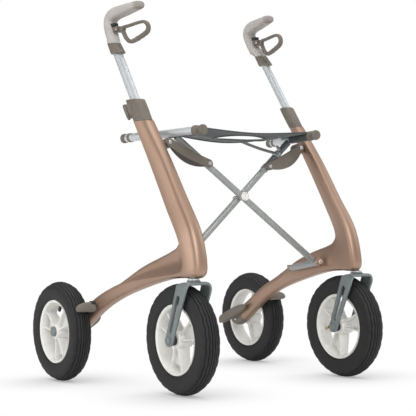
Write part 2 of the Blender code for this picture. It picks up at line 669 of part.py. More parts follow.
def make_caster(label, side, swivel, wheel):
    axle, up, fore_aft, crown = fork_frame(side)
    leg_x = TYRE_HALF_W + FORK_GAP + FORK_THICK / 2
    foot = -FORK_FOOT_W / 2
    corner = FORK_CORNER
    crown_wide = CROWN_HALF_W / FORK_FOOT_W * 2
    half_path = [
        (leg_x, foot, 0.34, 0), (leg_x, foot * 0.7, 0.72, 0), (leg_x, 0, 1.0, 0), (leg_x, crown * 0.5, 1.2, 0),
        (leg_x, crown - corner, 1.45, 0), (leg_x - corner * 0.3, crown - corner * 0.3, 1.35, pi / 4),
        (leg_x - corner, crown, crown_wide, pi / 2),
    ]
    path = half_path + [(-x, s, w, pi - t) for x, s, w, t in reversed(half_path)]
    loops = []
    for x, s, wide, tilt in path:
        out = Vector((cos(tilt), 0, 0)) + up.lerp(Vector((0, 0, 1)), sin(tilt)).normalized() * sin(tilt)
        way = fore_aft.lerp(Vector((0, 1, 0)), sin(tilt)).normalized()
        centre = axle + Vector((x, 0, 0)) + up * s
        half = FORK_FOOT_W / 2 * wide
        corners = ((-1, -1), (1, -1), (1, 1), (-1, 1))
        loops.append([centre + out * (a * FORK_THICK / 2) + way * (b * half) for a, b in corners])
    fork = piece(label + "_fork", loft(loops), FORK_PAINT, swivel)
    past = leg_x + PAST
    slot = []
    for x in (-past, past):
        foot_end, crown_end = (axle + Vector((x, 0, 0)) + up * (crown * share) for share in FORK_SLOT_ENDS)
        near, far = fore_aft * (FORK_SLOT_W * 0.4), fore_aft * (FORK_SLOT_W * 0.6)
        slot.append([foot_end + near, foot_end - near, crown_end - far, crown_end + far])
    cut(fork, label + "_fork_slot", loft(slot), swivel)
    bore = ((-past, AXLE_R + FIT), (past, AXLE_R + FIT))
    cut(fork, label + "_fork_bore", turned(axle, (1, 0, 0), bore), swivel)
    reach = leg_x + FORK_THICK / 2 + FIT
    axle_steps = (
        (-reach - AXLE_HEAD, AXLE_HEAD_R), (-reach, AXLE_HEAD_R), (-reach + SHOULDER, AXLE_R),
        (reach - SHOULDER, AXLE_R), (reach, AXLE_HEAD_R), (reach + AXLE_HEAD, AXLE_HEAD_R),
    )
    piece(label + "_front_axle", turned(axle, (1, 0, 0), axle_steps), STEEL, swivel)
    make_stem(label, side, swivel, axle, up, crown)
    make_wheel(label + "_front", axle, wheel)


def make_stem(label, side, swivel, axle, up, crown):
    """A cone on the fork's level crown, and the pin that turns in the side frame."""
    crown_top = (axle + up * crown).z + FORK_THICK / 2 + FIT
    foot = Vector((side * CASTER_X, CASTER_Y, 0))
    base = circle(foot + Vector((0, 0, crown_top)), (0, 0, 1), STEM_CONE_R)
    neck_z = AXLE_Z + TYRE_R + STEM_NECK_RISE
    loops = [base]
    for z, r in ((neck_z - STEM_CHAMFER, STEM_NECK_R + STEM_CHAMFER), (neck_z, STEM_NECK_R)):
        loops.append(circle(foot + Vector((0, 0, z)), (0, 0, 1), r))
    pin_top = AXLE_Z + TYRE_R + STEM_PIN_LENGTH
    for z in (neck_z + SHOULDER, pin_top):
        loops.append(circle(foot + Vector((0, 0, z)), (0, 0, 1), STEM_PIN_R))
    piece(label + "_steering_stem", loft(loops), FORK_PAINT, swivel)


def make_rear(label, side, carrier, wheel, brake):
    centre = Vector((side * REAR_WHEEL_X, REAR_Y, AXLE_Z))
    make_wheel(label + "_rear", centre, wheel)
    head = HUB_HALF_W + FIT
    steps = (
        (-rear_axle_length(), AXLE_R), (head, AXLE_R), (head + SHOULDER, AXLE_HEAD_R),
        (head + AXLE_HEAD, AXLE_HEAD_R * 0.9),
    )
    piece(label + "_rear_axle", turned(centre, (side, 0, 0), steps), STEEL, carrier)
    make_brake(label, side, carrier, brake)
    make_pedal(label, side, carrier)


def brake_places(side):
    """The way out from the rear wheel to the brake bar, the way round the tyre, the bar's middle and its hinge."""
    away = Vector((0, -cos(BRAKE_ANGLE), sin(BRAKE_ANGLE)))
    round_way = Vector((0, sin(BRAKE_ANGLE), cos(BRAKE_ANGLE)))
    middle = Vector((side * BRAKE_INNER_X, REAR_Y, AXLE_Z)) + away * (TYRE_R + BRAKE_GAP + BRAKE_HALF_DEPTH)
    return away, round_way, middle, middle + round_way * BRAKE_HINGE_UP


def make_brake(label, side, carrier, brake):
    """A bar across the front of the rear tyre, hung on a pin in the leg's outer face."""
    away, round_way, middle, hinge = brake_places(side)
    outward = Vector((side, 0, 0))
    length = REAR_WHEEL_X + TYRE_HALF_W * 0.85 - BRAKE_INNER_X
    loops = []
    for share, tall, deep in ((0, 1.0, 1.0), (0.5, 1.0, 1.0), (0.8, 0.85, 0.9), (0.95, 0.6, 0.7), (1, 0.35, 0.4)):
        mid = middle + outward * (length * share)
        loop = []
        for a, b in rounded(ROUND_SIDES, 3):
            loop.append(mid + away * (a * BRAKE_HALF_DEPTH * deep) + round_way * (b * BRAKE_HALF_HEIGHT * tall))
        loops.append(loop)
    bar = piece(label + "_brake_bar", loft(loops), TAUPE, brake)
    hole = ((-PAST, BRAKE_PIN_R + FIT), (BRAKE_PIN_REACH, BRAKE_PIN_R + FIT))
    cut(bar, label + "_brake_bore", turned(hinge, outward, hole), brake)
    steps = (
        (-BRAKE_WASHER - FIT, BRAKE_WASHER_R), (-FIT, BRAKE_WASHER_R), (-FIT + SHOULDER, BRAKE_PIN_R),
        (BRAKE_PIN_REACH - RUNNING, BRAKE_PIN_R),
    )
    piece(label + "_brake_pin", turned(hinge, outward, steps), STEEL, carrier)


def make_pedal(label, side, carrier):
    """A ribbed step along the inner face of the leg's rear end."""
    _, _, leg_x, leg_half = FRAME_STATIONS[-3][:4]
    inner_face = leg_x - leg_half - FIT
    start = Vector((0, REAR_Y - PEDAL_AHEAD, leg_height(-3)))
    end = Vector((0, REAR_Y + PEDAL_BEHIND, leg_height(-1) - PEDAL_DIP))
    pitch = 1 / (PEDAL_RIBS + 1)
    spans = [(0, 0.55, 0.45)]
    for k in range(PEDAL_RIBS):
        first = pitch * (k + 0.8)
        spans += [(first, 0.9, 0.9), (first + pitch * 0.3, 1.0, 1.0), (first + pitch * 0.6, 0.9, 0.9)]
    spans += [(1.0, 0.6, 0.6)]
    loops = []
    for share, tall, wide in spans:
        mid = start.lerp(end, share)
        width = PEDAL_WIDTH * wide
        loop = []
        for a, b in rounded(PEDAL_POINTS, 3.5):
            x = inner_face - width / 2 + a * width / 2
            loop.append(Vector((side * x, mid.y, mid.z + b * PEDAL_HALF_HEIGHT * tall)))
        loops.append(loop)
    piece(label + "_tip_pedal", loft(loops), TAUPE, carrier)


def leg_height(station):
    """Height of the middle of the leg at one of its stations."""
    _, rear_z, _, front_z = frame_row(station)[:4]
    return (rear_z + front_z) / 2


def hinge_point(side):
    return cross_point(side * HINGE_X, HINGE_Z)


def make_lower_hinge(label, side, carrier, brace_carrier):
    at = hinge_point(side)
    front = -HINGE_FRONT
    back = front + HINGE_LENGTH
    profile = ((front, HINGE_PIN_R + FIT), (back, HINGE_PIN_R + FIT), (back, HINGE_R), (front, HINGE_R))
    piece(label + "_brace_hinge_tube", turned_ring(at, FOLD_AXIS, profile, ROUND_SIDES), GREY, brace_carrier)
    near = front - FIT * 2
    far = back + FIT * 2
    ends = ((near - EAR_THICK - PIN_PROUD, HINGE_PIN_R), (far + EAR_THICK + PIN_PROUD, HINGE_PIN_R))
    piece(label + "_hinge_pin", turned(at, FOLD_AXIS, ends), STEEL, carrier)
    plate_in = HINGE_R + RUNNING
    plate_out = plate_in + BRACKET_PLATE
    tip = -HINGE_R
    plan = (
        (near - EAR_THICK, tip), (near, tip), (near, plate_in), (far, plate_in), (far, tip), (far + EAR_THICK, tip),
        (far + EAR_THICK, plate_out), (near - EAR_THICK, plate_out),
    )
    half = HINGE_R
    loops = []
    for up in (-half, half):
        loops.append([at + FOLD_AXIS * v + Vector((side * x, 0, 0)) + CROSS_UP * up for v, x in plan])
    bracket = piece(label + "_hinge_bracket", loft(loops), COPPER, carrier)
    bore = ((near - PAST, HINGE_PIN_R + FIT), (far + PAST, HINGE_PIN_R + FIT))
    cut(bracket, label + "_hinge_bore", turned(at, FOLD_AXIS, bore), carrier)


def make_brace(label, side, behind, carrier):
    """A brace from its own side's lower hinge, through the centre, up to the other side's seat tube."""
    foot = hinge_point(side) + FOLD_AXIS * behind
    centre = cross_point(0, CROSS_Z, behind)
    way = (centre - foot).normalized()
    top_length = (SEAT_Z - HINGE_Z) / (CROSS_Z - HINGE_Z) * (centre - foot).length
    slant = abs(way.dot(seat_way(-side)))
    top_gap = SEAT_TUBE_R + BRACE_R * slant / sqrt(1 - slant ** 2) + FIT
    steps = ((HINGE_R + FIT, BRACE_R), (top_length - top_gap, BRACE_R))
    brace = piece(label + "_brace", turned(foot, way, steps), GREY, carrier)
    hole = ((-PAST, CENTRE_BOLT_R + FIT), (PAST, CENTRE_BOLT_R + FIT))
    cut(brace, label + "_brace_bore", turned(centre, FOLD_AXIS, hole), carrier)
    return foot + way * top_length


def seat_way(side):
    return Vector((side * sin(SEAT_TOE), cos(SEAT_TOE), 0))


def make_seat_tube(label, side, crossing, carrier):
    """The seat bar on the upper end of the other side's brace, with its front cap."""
    way = seat_way(side)
    front = crossing + way * ((SEAT_FRONT_Y - crossing.y) / way.y)
    length = (SEAT_REAR_Y - SEAT_FRONT_Y) / way.y
    piece(label + "_seat_tube", turned(front, way, ((0, SEAT_TUBE_R), (length, SEAT_TUBE_R))), SILVER, carrier)
    steps = (
        (FIT, FRONT_CAP_R), (FRONT_CAP_STEP, FRONT_CAP_R), (FRONT_CAP_STEP + SHOULDER, FRONT_CAP_NECK_R),
        (FRONT_CAP_BALL, FRONT_CAP_NECK_R), (FRONT_CAP_BALL + SHOULDER, FRONT_CAP_R),
        (FRONT_CAP_LENGTH - SEAT_TUBE_R / 3, FRONT_CAP_R), (FRONT_CAP_LENGTH, SEAT_TUBE_R),
    )
    piece(label + "_seat_front_cap", turned(front, -way, steps), TAUPE, carrier)


def make_seat_rest(label, side, carrier):
    """A stub on the inner face of the post, in line with the seat bar, that the seat's rear end rests against."""
    _, _, post_x, post_half = FRAME_STATIONS[0][:4]
    flat_share = max(thick for _, thick in rounded(SECTION_POINTS, SECTION_POWER))
    plate_x = post_x - post_half * flat_share - REST_PLATE - FIT
    length = REST_REAR_Y - REST_FRONT_Y
    cap = REST_CAP_R
    full = (SEAT_TUBE_R, SEAT_TUBE_R)
    steps = (
        (0.0, REST_PLATE, 0.008), (0.30, REST_PLATE, SEAT_TUBE_R), (0.42, *full), (0.86, *full), (0.865, cap, cap),
        (0.98, cap, cap), (1.0, cap * 0.8, cap * 0.8),
    )
    loops = []
    for share, wide, tall in steps:
        x = plate_x + REST_SPREAD * max(0, (share - 0.2) / 0.8)
        mid = Vector((side * x, REST_FRONT_Y + length * share, WHEEL_TOP + SEAT_Z))
        turns = [2 * pi * (k + 0.5) / ROUND_SIDES for k in range(ROUND_SIDES)]
        loops.append([mid + Vector((wide * cos(t), 0, tall * sin(t))) for t in turns])
    piece(label + "_seat_rest", loft(loops), SILVER, carrier)


def make_link(label, side, plane, boss_r, carrier, link_carrier):
    """A curved blade hung on the post; its free end lies against the brace that carries this side's seat bar."""
    pin = cross_point(side * LINK_PIN_X, LINK_PIN_Z, plane)
    slope = (CROSS_Z - HINGE_Z) / HINGE_X
    end = cross_point(side * LINK_END_X, CROSS_Z + slope * LINK_END_X, plane)
    way = (end - pin).normalized()
    down = FOLD_AXIS.cross(way)
    if down.z > 0:
        down = -down
    length = (end - pin).length
    upper, lower = [], []
    for k in range(7):
        t = k / 6
        belly = LINK_EDGE + LINK_BELLY * sin(pi * t) ** 0.8
        upper.append(pin + way * (length * t) - down * (LINK_EDGE * (1 - 0.25 * sin(pi * t))))
        lower.append(pin + way * (length * t) + down * belly)
    tail = [pin - way * LINK_EDGE * 0.8 + down * LINK_EDGE * c for c in (0.6, -0.6)]
    nose = [end + way * LINK_EDGE * 0.8 + down * LINK_EDGE * c for c in (-0.6, 0.6)]
    outline = upper + nose + list(reversed(lower)) + tail
    loops = [[p + FOLD_AXIS * v for p in outline] for v in (-LINK_HALF_THICK, LINK_HALF_THICK)]
    arm = piece(label + "_link_arm", loft(loops), TAUPE, link_carrier)
    hole = ((-PAST, LINK_PIN_R + FIT), (PAST, LINK_PIN_R + FIT))
    cut(arm, label + "_link_bore", turned(pin, FOLD_AXIS, hole), link_carrier)
    face = LINK_HALF_THICK + FIT
    steps = (
        (-face - LINK_HEAD, LINK_HEAD_R), (-face, LINK_HEAD_R), (-face + SHOULDER, LINK_PIN_R),
        (face, LINK_PIN_R), (face + SHOULDER, boss_r), (face + LINK_BOSS, boss_r),
    )
    piece(label + "_link_pin", turned(pin, FOLD_AXIS, steps), STEEL, carrier)


def make_centre_pivot(carrier):
    centre = cross_point(0, CROSS_Z)
    front = -BRACE_R - FIT * 2
    back = BRACE_PITCH + BRACE_R + FIT * 2
    steps = (
        (front - CENTRE_CAP, CENTRE_CAP_R * 0.8), (front - CENTRE_CAP * 0.6, CENTRE_CAP_R), (front, CENTRE_CAP_R),
        (front + SHOULDER, CENTRE_BOLT_R), (back, CENTRE_BOLT_R), (back + SHOULDER, CENTRE_CAP_R * 0.8),
        (back + CENTRE_CAP, CENTRE_CAP_R * 0.8),
    )
    piece("centre_pivot", turned(centre, FOLD_AXIS, steps), IVORY, carrier)


def make_sling(carrier, crossing):
    """Fabric between the seat bars, with a lens-shaped grab opening in the middle."""
    slope = tan(SEAT_TOE)

    def half_width(y):
        return abs(crossing.x) + slope * (y - crossing.y) - SEAT_TUBE_R - SLING_EDGE_GAP

    outer, inner = [], []
    per_side = SLING_POINTS // 4
    front, back = SLING_FRONT_Y, SLING_REAR_Y
    corners = (
        (-half_width(front), front), (half_width(front), front), (half_width(back), back), (-half_width(back), back),
    )
    for k in range(4):
        ax, ay = corners[k]
        bx, by = corners[(k + 1) % 4]
        for i in range(per_side):
            t = i / per_side
            outer.append((ax + (bx - ax) * t, ay + (by - ay) * t))
    for x, y in outer:
        t = atan2((y - GRAB_Y) / GRAB_HALF_Y, x / GRAB_HALF_X)
        inner.append((GRAB_HALF_X * cos(t), GRAB_Y + GRAB_HALF_Y * sin(t) * (0.72 + 0.28 * abs(sin(t)))))
    edge = half_width(front)

    def sagged(points, lift):
        top = WHEEL_TOP + SEAT_Z + SLING_LIFT + lift
        return [Vector((x, y, top - SLING_SAG * (1 - min(1, (x / edge) ** 2)))) for x, y in points]

    half = SLING_THICK / 2
    loops = [sagged(outer, half), sagged(outer, -half), sagged(inner, -half), sagged(inner, half)]
    piece("seat_sling", loft(loops, ring=True), CLOTH, carrier)


def make_side(label, side, frame, upper_brace_plane, boss_r):
    """Everything that stays with one side frame, and the bodies hung on it."""
    knob = body(label + "_knob", knob_origin(side), frame)
    handle = body(label + "_handle", sided(side, HANDLE_POINT), frame)
    lever = body(label + "_lever", lever_pivot(side), handle)
    caster = body(label + "_caster", (side * CASTER_X, CASTER_Y, AXLE_Z), frame)
    front_wheel = body(label + "_front_wheel", (side * CASTER_X, FRONT_Y, AXLE_Z), caster)
    rear_wheel = body(label + "_rear_wheel", (side * REAR_WHEEL_X, REAR_Y, AXLE_Z), frame)
    brake = body(label + "_brake", brake_places(side)[-1], frame)
    plane = upper_brace_plane - BRACE_R - RUNNING - LINK_HALF_THICK
    link = body(label + "_link", cross_point(side * LINK_PIN_X, LINK_PIN_Z, plane), frame)
    make_side_frame(label, side, frame)
    make_collar(label, side, frame, knob)
    make_handle(label, side, handle, lever)
    make_caster(label, side, caster, front_wheel)
    make_rear(label, side, frame, rear_wheel, brake)
    make_seat_rest(label, side, frame)
    make_link(label, side, plane, boss_r, frame, link)


# The left brace lies in front, the right brace one pitch behind it
right_frame = body("right_frame", (0, 0, 0))
right_cross = body("right_cross", hinge_point(-1), right_frame)
left_cross = body("left_cross", cross_point(0, CROSS_Z), right_cross)
left_frame = body("left_frame", hinge_point(1), left_cross)
make_lower_hinge("right", -1, right_frame, right_cross)
make_lower_hinge("left", 1, left_frame, left_cross)
left_seat_at = make_brace("right", -1, BRACE_PITCH, right_cross)
right_seat_at = make_brace("left", 1, 0.0, left_cross)
make_seat_tube("left", 1, left_seat_at, right_cross)
make_seat_tube("right", -1, right_seat_at, left_cross)
make_centre_pivot(right_cross)
make_sling(right_cross, right_seat_at)
make_side("right", -1, right_frame, 0.0, RIGHT_LINK_BOSS_R)
make_side("left", 1, left_frame, BRACE_PITCH, LEFT_LINK_BOSS_R)
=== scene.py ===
import bmesh
import bpy
import json
from math import atan2, copysign, cos, pi, radians, sin, sqrt, tan
from mathutils import Matrix, Quaternion, Vector


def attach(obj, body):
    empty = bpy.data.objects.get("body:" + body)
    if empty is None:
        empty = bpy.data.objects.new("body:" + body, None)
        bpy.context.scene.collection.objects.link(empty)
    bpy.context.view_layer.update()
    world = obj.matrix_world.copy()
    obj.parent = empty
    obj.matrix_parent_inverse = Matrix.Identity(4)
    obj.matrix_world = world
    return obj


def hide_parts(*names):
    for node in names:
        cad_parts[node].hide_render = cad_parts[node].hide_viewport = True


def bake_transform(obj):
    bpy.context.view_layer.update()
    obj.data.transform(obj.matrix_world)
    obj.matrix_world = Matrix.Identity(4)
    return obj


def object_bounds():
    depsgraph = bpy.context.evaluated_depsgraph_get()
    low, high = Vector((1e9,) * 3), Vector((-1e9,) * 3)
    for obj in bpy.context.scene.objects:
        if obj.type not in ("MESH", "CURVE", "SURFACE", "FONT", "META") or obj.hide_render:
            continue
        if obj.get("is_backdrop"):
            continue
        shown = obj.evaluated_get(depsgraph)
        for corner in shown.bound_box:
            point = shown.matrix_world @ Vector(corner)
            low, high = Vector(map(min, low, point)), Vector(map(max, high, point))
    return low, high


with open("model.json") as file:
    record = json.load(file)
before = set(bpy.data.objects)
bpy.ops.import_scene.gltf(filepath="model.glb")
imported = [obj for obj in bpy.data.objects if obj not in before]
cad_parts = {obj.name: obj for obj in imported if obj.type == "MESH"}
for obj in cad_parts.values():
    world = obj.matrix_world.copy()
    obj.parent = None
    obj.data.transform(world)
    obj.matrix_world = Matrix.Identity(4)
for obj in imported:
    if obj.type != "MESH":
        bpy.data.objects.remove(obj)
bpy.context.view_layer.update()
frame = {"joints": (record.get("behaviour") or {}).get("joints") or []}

# The stage: a pale floor that runs off into white, soft boxes laid into the sky on three sides and above, and
# a long lens held near wheel height, a little rolled, as in the photograph.
EYE = Vector((-1.667, -2.396, 0.3505))
LOOK_AT = Vector((0, 0, 0.4314))
CAMERA_ROLL = radians(-1.5)
LENS_MM = 98.87
SENSOR_MM = 36
FLOOR_SIZE = 30
FLOOR_GAP = 0.0003
SHADOW_REACH = 0.24
SHADOW_SAMPLES = 32
SHADOW_GAIN = 1.25
SHADOW_FALL = 0.20
SHADOW_TONE = (0.40, 0.40, 0.41)
PAPER_SHARE = 0.95
SOFT_BOXES = (  # the way to each, the angles to its outer and inner edge, its level
    ((-1.4, -3.0, 2.0), 24, 14, 4.4), ((-2.8, 0.9, 0.5), 20, 10, 3.4), ((2.4, -1.0, 1.5), 24, 13, 1.8),
    ((0.2, 0.3, 2.8), 31, 18, 3.0),
)
SKY_LEVEL = 0.30

bpy.ops.object.select_all(action="DESELECT")
bpy.ops.object.camera_add(location=EYE)
camera = bpy.context.object
camera.rotation_mode = "QUATERNION"
camera.rotation_quaternion = (LOOK_AT - EYE).to_track_quat("-Z", "Y") @ Quaternion((0, 0, 1), CAMERA_ROLL)
camera.data.lens = LENS_MM
camera.data.sensor_width = SENSOR_MM
bpy.context.scene.camera = camera
bpy.context.scene.view_settings.view_transform = "Standard"


class Wire:
    """A shader socket that Python arithmetic can work on; each operation adds its own Math node."""

    def __init__(self, tree, socket=None):
        self.tree = tree
        self.socket = socket

    def node(self, kind, settings, sockets, output=0):
        """Any node in the same tree: its settings first, then values or wires for its sockets."""
        made = self.tree.nodes.new("ShaderNode" + kind)
        for name, value in settings.items():
            setattr(made, name, value)
        for name, value in sockets.items():
            if isinstance(value, Wire):
                self.tree.links.new(value.socket, made.inputs[name])
            else:
                made.inputs[name].default_value = value
        return Wire(self.tree, made.outputs[output])

    def maths(self, operation, first, second):
        return self.node("Math", {"operation": operation}, {0: first, 1: second})

    def __add__(self, other):
        return self.maths("ADD", self, other)

    def __sub__(self, other):
        return self.maths("SUBTRACT", self, other)

    def __rsub__(self, other):
        return self.maths("SUBTRACT", other, self)

    def __mul__(self, other):
        return self.maths("MULTIPLY", self, other)

    __radd__ = __add__
    __rmul__ = __mul__

    def limit(self):
        """The value held between 0 and 1."""
        return self.node("Clamp", {}, {"Value": self})

    def blend(self, low, high):
        """A colour between two others, by this value."""
        mixed = {0: self}
        for index, colour in ((6, low), (7, high)):
            mixed[index] = colour if isinstance(colour, Wire) else (*colour, 1)
        return self.node("Mix", {"data_type": "RGBA"}, mixed, 2)

    def noise(self, scale, detail=3.0, stretch=None):
        """Soft noise at this place, in features per metre, drawn out where stretch is below 1."""
        at = self if stretch is None else self.node("Mapping", {}, {"Vector": self, "Scale": stretch})
        return self.node("TexNoise", {}, {"Vector": at, "Scale": scale, "Detail": detail}, "Fac")

    def relief(self, depth, strength):
        """A normal with this value as its height, in metres."""
        return self.node("Bump", {}, {"Height": self, "Distance": depth, "Strength": strength}, "Normal")


def new_finish(name, fixed):
    """A Principled material with its constants set, its shader and a wire at the object's coordinates."""
    material = bpy.data.materials.new(name)
    material.use_nodes = True
    tree = material.node_tree
    shader = tree.nodes["Principled BSDF"]
    for socket, value in fixed.items():
        shader.inputs[socket].default_value = value
    place = Wire(tree).node("TexCoord", {}, {}, "Object")
    return material, shader, place


def feed(shader, **wires):
    """Links wires to the shader's sockets, named with _ for a space."""
    for name, wire in wires.items():
        wire.tree.links.new(wire.socket, shader.inputs[name.replace("_", " ")])


def floor_finish():
    """Matte white; the camera sees it as bare paper, shaded where the walker stands close over it."""
    material, shader, place = new_finish("floor_white", {"Roughness": 0.9, "Specular IOR Level": 0.1})
    feed(shader, Base_Color=place.noise(3).blend((0.86, 0.86, 0.865), (0.90, 0.90, 0.90)))
    tree = material.node_tree
    shade = place.node("AmbientOcclusion", {"samples": SHADOW_SAMPLES}, {"Distance": SHADOW_REACH}, "AO")
    paper = (shade * SHADOW_GAIN - SHADOW_FALL).limit().blend(SHADOW_TONE, (1, 1, 1))
    glow = place.node("Emission", {}, {"Color": paper})
    path = place.node("LightPath", {}, {}, "Is Camera Ray")
    mixed = path.node("MixShader", {}, {0: path * PAPER_SHARE, 1: Wire(tree, shader.outputs[0]), 2: glow})
    tree.links.new(mixed.socket, tree.nodes["Material Output"].inputs["Surface"])
    return material


bpy.ops.mesh.primitive_plane_add(size=FLOOR_SIZE, location=(0, 0, -FLOOR_GAP))
floor = bpy.context.object
floor.name = "floor"
floor.data.materials.append(floor_finish())
floor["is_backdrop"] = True

world = bpy.data.worlds.new("studio")
bpy.context.scene.world = world
world.use_nodes = True
backdrop = world.node_tree.nodes["Background"]
backdrop.inputs["Color"].default_value = (1, 1, 1, 1)
direction = Wire(world.node_tree).node("TexCoord", {}, {}, "Generated")
light = SKY_LEVEL
for way, outer, inner, level in SOFT_BOXES:
    toward = {0: direction, 1: Vector(way).normalized()}
    facing = direction.node("VectorMath", {"operation": "DOT_PRODUCT"}, toward, "Value")
    edge = cos(radians(outer))
    light = light + ((facing - edge) * (1 / (cos(radians(inner)) - edge))).limit() * level
rays = [direction.node("LightPath", {}, {}, ray) for ray in ("Is Camera Ray", "Is Transmission Ray")]
seen = rays[0] + rays[1]
sky = seen + (1 - seen) * light
world.node_tree.links.new(sky.socket, backdrop.inputs["Strength"])


# Side frames: one moulding each, a post that sweeps round a knee into a plank-like leg. A sharp crease runs
# down the post's rear edge, turns at the knee and climbs to the leg's top, with a scooped web behind it. The
# shell is copper lacquer over a smooth moulding, bored at the top for the handle tube.
POST_TO_LEG = (  # rear edge y, z; front edge y, z; x; half width; toe in degrees; crease and web as shares
    (-0.0575, 0.6375, -0.1010, 0.6375, 0.2345, 0.0150, 13, 0.90, 0.72),
    (-0.131, 0.5230, -0.171, 0.5460, 0.2350, 0.0152, 13, 0.90, 0.62),
    (-0.190, 0.4250, -0.236, 0.4490, 0.2350, 0.0160, 13, 0.87, 0.45),
    (-0.223, 0.3600, -0.287, 0.3720, 0.2365, 0.0175, 12, 0.72, 0.00),
    (-0.212, 0.3360, -0.306, 0.2980, 0.2380, 0.0185, 10, 0.50, -0.30),
    (-0.188, 0.3260, -0.296, 0.2665, 0.2395, 0.0190, 8, 0.34, -0.38),
    (-0.160, 0.3185, -0.245, 0.2650, 0.2405, 0.0190, 6, 0.20, -0.38),
    (-0.125, 0.3090, -0.180, 0.2605, 0.2415, 0.0185, 5, 0.19, -0.28),
    (-0.061, 0.2880, -0.085, 0.2410, 0.2440, 0.0170, 3, 0.42, 0.10),
    (0.024, 0.2500, 0.015, 0.2145, 0.2485, 0.0160, 2, 0.84, 0.55),
    (0.105, 0.2180, 0.090, 0.1840, 0.2545, 0.0160, 2, 0.92, 0.80),
    (0.175, 0.1800, 0.157, 0.1460, 0.2600, 0.0160, 0, 0.92, 0.80),
    (0.235, 0.1490, 0.222, 0.1090, 0.2620, 0.0170, 0, 0.92, 0.80),
    (0.258, 0.1370, 0.250, 0.1100, 0.2620, 0.0140, 0, 0.90, 0.70),
)
FRAME_STEPS = 7
LEG_FOOT = 11 * FRAME_STEPS + 4
NOSE_LIMIT = 0.8
NOSE_ROUND = 0.7
TAIL_SHARE = 0.55
FACE_CROWN = 0.05
INNER_CROWN = 0.06
WEB_RUN = 0.75
ARC_STEPS = 8
FACE_STEPS = 7
WEB_STEPS = 8
HANDLE_TOP = Vector((0.2335, -0.0395, 0.6935))
joint = {row["name"]: row for row in frame["joints"]}
SLIDE = Vector(joint["left_handle_slide"]["axis"])
TUBE_DEPTH = 0.0130
TUBE_WIDTH = 0.0083
TUBE_TOE = radians(13)
BORE_DEPTH = 0.2915
BORE_GAP = 0.0003
SIDES = ("left_", "right_")


def through(rows, steps):
    """Catmull-Rom rows between rows of numbers."""
    smooth = []
    last = len(rows) - 1
    for i in range(last):
        around = [rows[min(max(k, 0), last)] for k in range(i - 1, i + 3)]
        for step in range(steps):
            t = step / steps
            weights = (
                (-t + 2 * t ** 2 - t ** 3) / 2, (2 - 5 * t ** 2 + 3 * t ** 3) / 2,
                (t + 4 * t ** 2 - 3 * t ** 3) / 2, (t ** 3 - t ** 2) / 2,
            )
            smooth.append([sum(w * v for w, v in zip(weights, values)) for values in zip(*around)])
    smooth.append(list(rows[last]))
    return smooth


def sweep(name, rings, closed=False):
    """A skin pulled through rings of points: one ring is extruded from place to place, as by hand."""
    bpy.ops.object.select_all(action="DESELECT")
    fill = "NOTHING" if closed else "NGON"
    bpy.ops.mesh.primitive_circle_add(vertices=len(rings[0]), fill_type=fill)
    piece = bpy.context.object
    piece.name = name
    bpy.ops.object.mode_set(mode="EDIT")
    skin = bmesh.from_edit_mesh(piece.data)
    order = skin.verts.layers.int.new("order")
    for i, vertex in enumerate(skin.verts):
        vertex.co = rings[0][i]
        vertex[order] = i
    for ring in rings[1:]:
        bpy.ops.mesh.extrude_region()
        skin = bmesh.from_edit_mesh(piece.data)
        order = skin.verts.layers.int["order"]
        for vertex in skin.verts:
            if vertex.select:
                vertex.co = ring[vertex[order]]
    bmesh.update_edit_mesh(piece.data)
    if closed:
        bpy.ops.mesh.select_all(action="DESELECT")
        bpy.ops.mesh.select_mode(type="EDGE")
        bpy.ops.mesh.select_non_manifold()
        bpy.ops.mesh.bridge_edge_loops()
        bpy.ops.mesh.select_mode(type="VERT")
    bpy.ops.mesh.select_all(action="SELECT")
    bpy.ops.mesh.normals_make_consistent(inside=False)
    bpy.ops.object.mode_set(mode="OBJECT")
    piece.data.attributes.remove(piece.data.attributes["order"])
    return piece


def cut_away(piece, rings):
    """Takes a swept shape out of a piece."""
    cutter = sweep("cutter", rings)
    bpy.context.view_layer.objects.active = piece
    boolean = piece.modifiers.new("cut", "BOOLEAN")
    boolean.object = cutter
    bpy.ops.object.modifier_apply(modifier="cut")
    bpy.data.objects.remove(cutter)


def turns(count):
    """Angles in even steps round a full turn."""
    return [2 * pi * k / count for k in range(count)]


def oval_ring(centre, axis, depth, width, toe=TUBE_TOE, count=40):
    """An oval square to an axis on the left side, its long way toed out towards the rear."""
    long_way = Vector((sin(toe), cos(toe), 0))
    long_way = (long_way - axis * long_way.dot(axis)).normalized()
    short_way = axis.cross(long_way)
    return [centre + long_way * (depth * cos(t)) + short_way * (width * sin(t)) for t in turns(count)]


def bored(piece, *ends):
    """Cuts the handle tube's way through a piece, with its running gap."""
    cut_away(piece, [oval_ring(at, SLIDE, TUBE_DEPTH + BORE_GAP, TUBE_WIDTH + BORE_GAP) for at in ends])


def smoothed(piece, angle=32):
    """Smooth shading that stays sharp at edges steeper than the angle."""
    bpy.ops.object.select_all(action="DESELECT")
    piece.select_set(True)
    bpy.context.view_layer.objects.active = piece
    bpy.ops.object.shade_smooth_by_angle(angle=radians(angle))
    return piece


def fitted(piece, material, body, slot, *nodes):
    """A finished piece gets its material, rides on a body, and stands for the named solids."""
    piece.data.materials.clear()
    piece.data.materials.append(material)
    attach(piece, body)
    if nodes:
        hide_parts(*nodes)


def copied(piece, name, move):
    """A moved or mirrored copy of a piece, with a mesh of its own."""
    copy = piece.copy()
    copy.data = piece.data.copy()
    copy.name = name
    bpy.context.collection.objects.link(copy)
    copy.data.transform(move)
    if move.determinant() < 0:
        copy.data.flip_normals()
    return copy


def pair(piece, material, body, slot, *nodes):
    """A left piece and its mirrored right one; names, bodies and nodes are given without their side."""
    other = copied(piece, "right_" + piece.name, Matrix.Scale(-1, 4, (1, 0, 0)))
    piece.name = "left_" + piece.name
    for side, made in zip(SIDES, (piece, other)):
        fitted(made, material, side + body, slot, *[side + node for node in nodes])


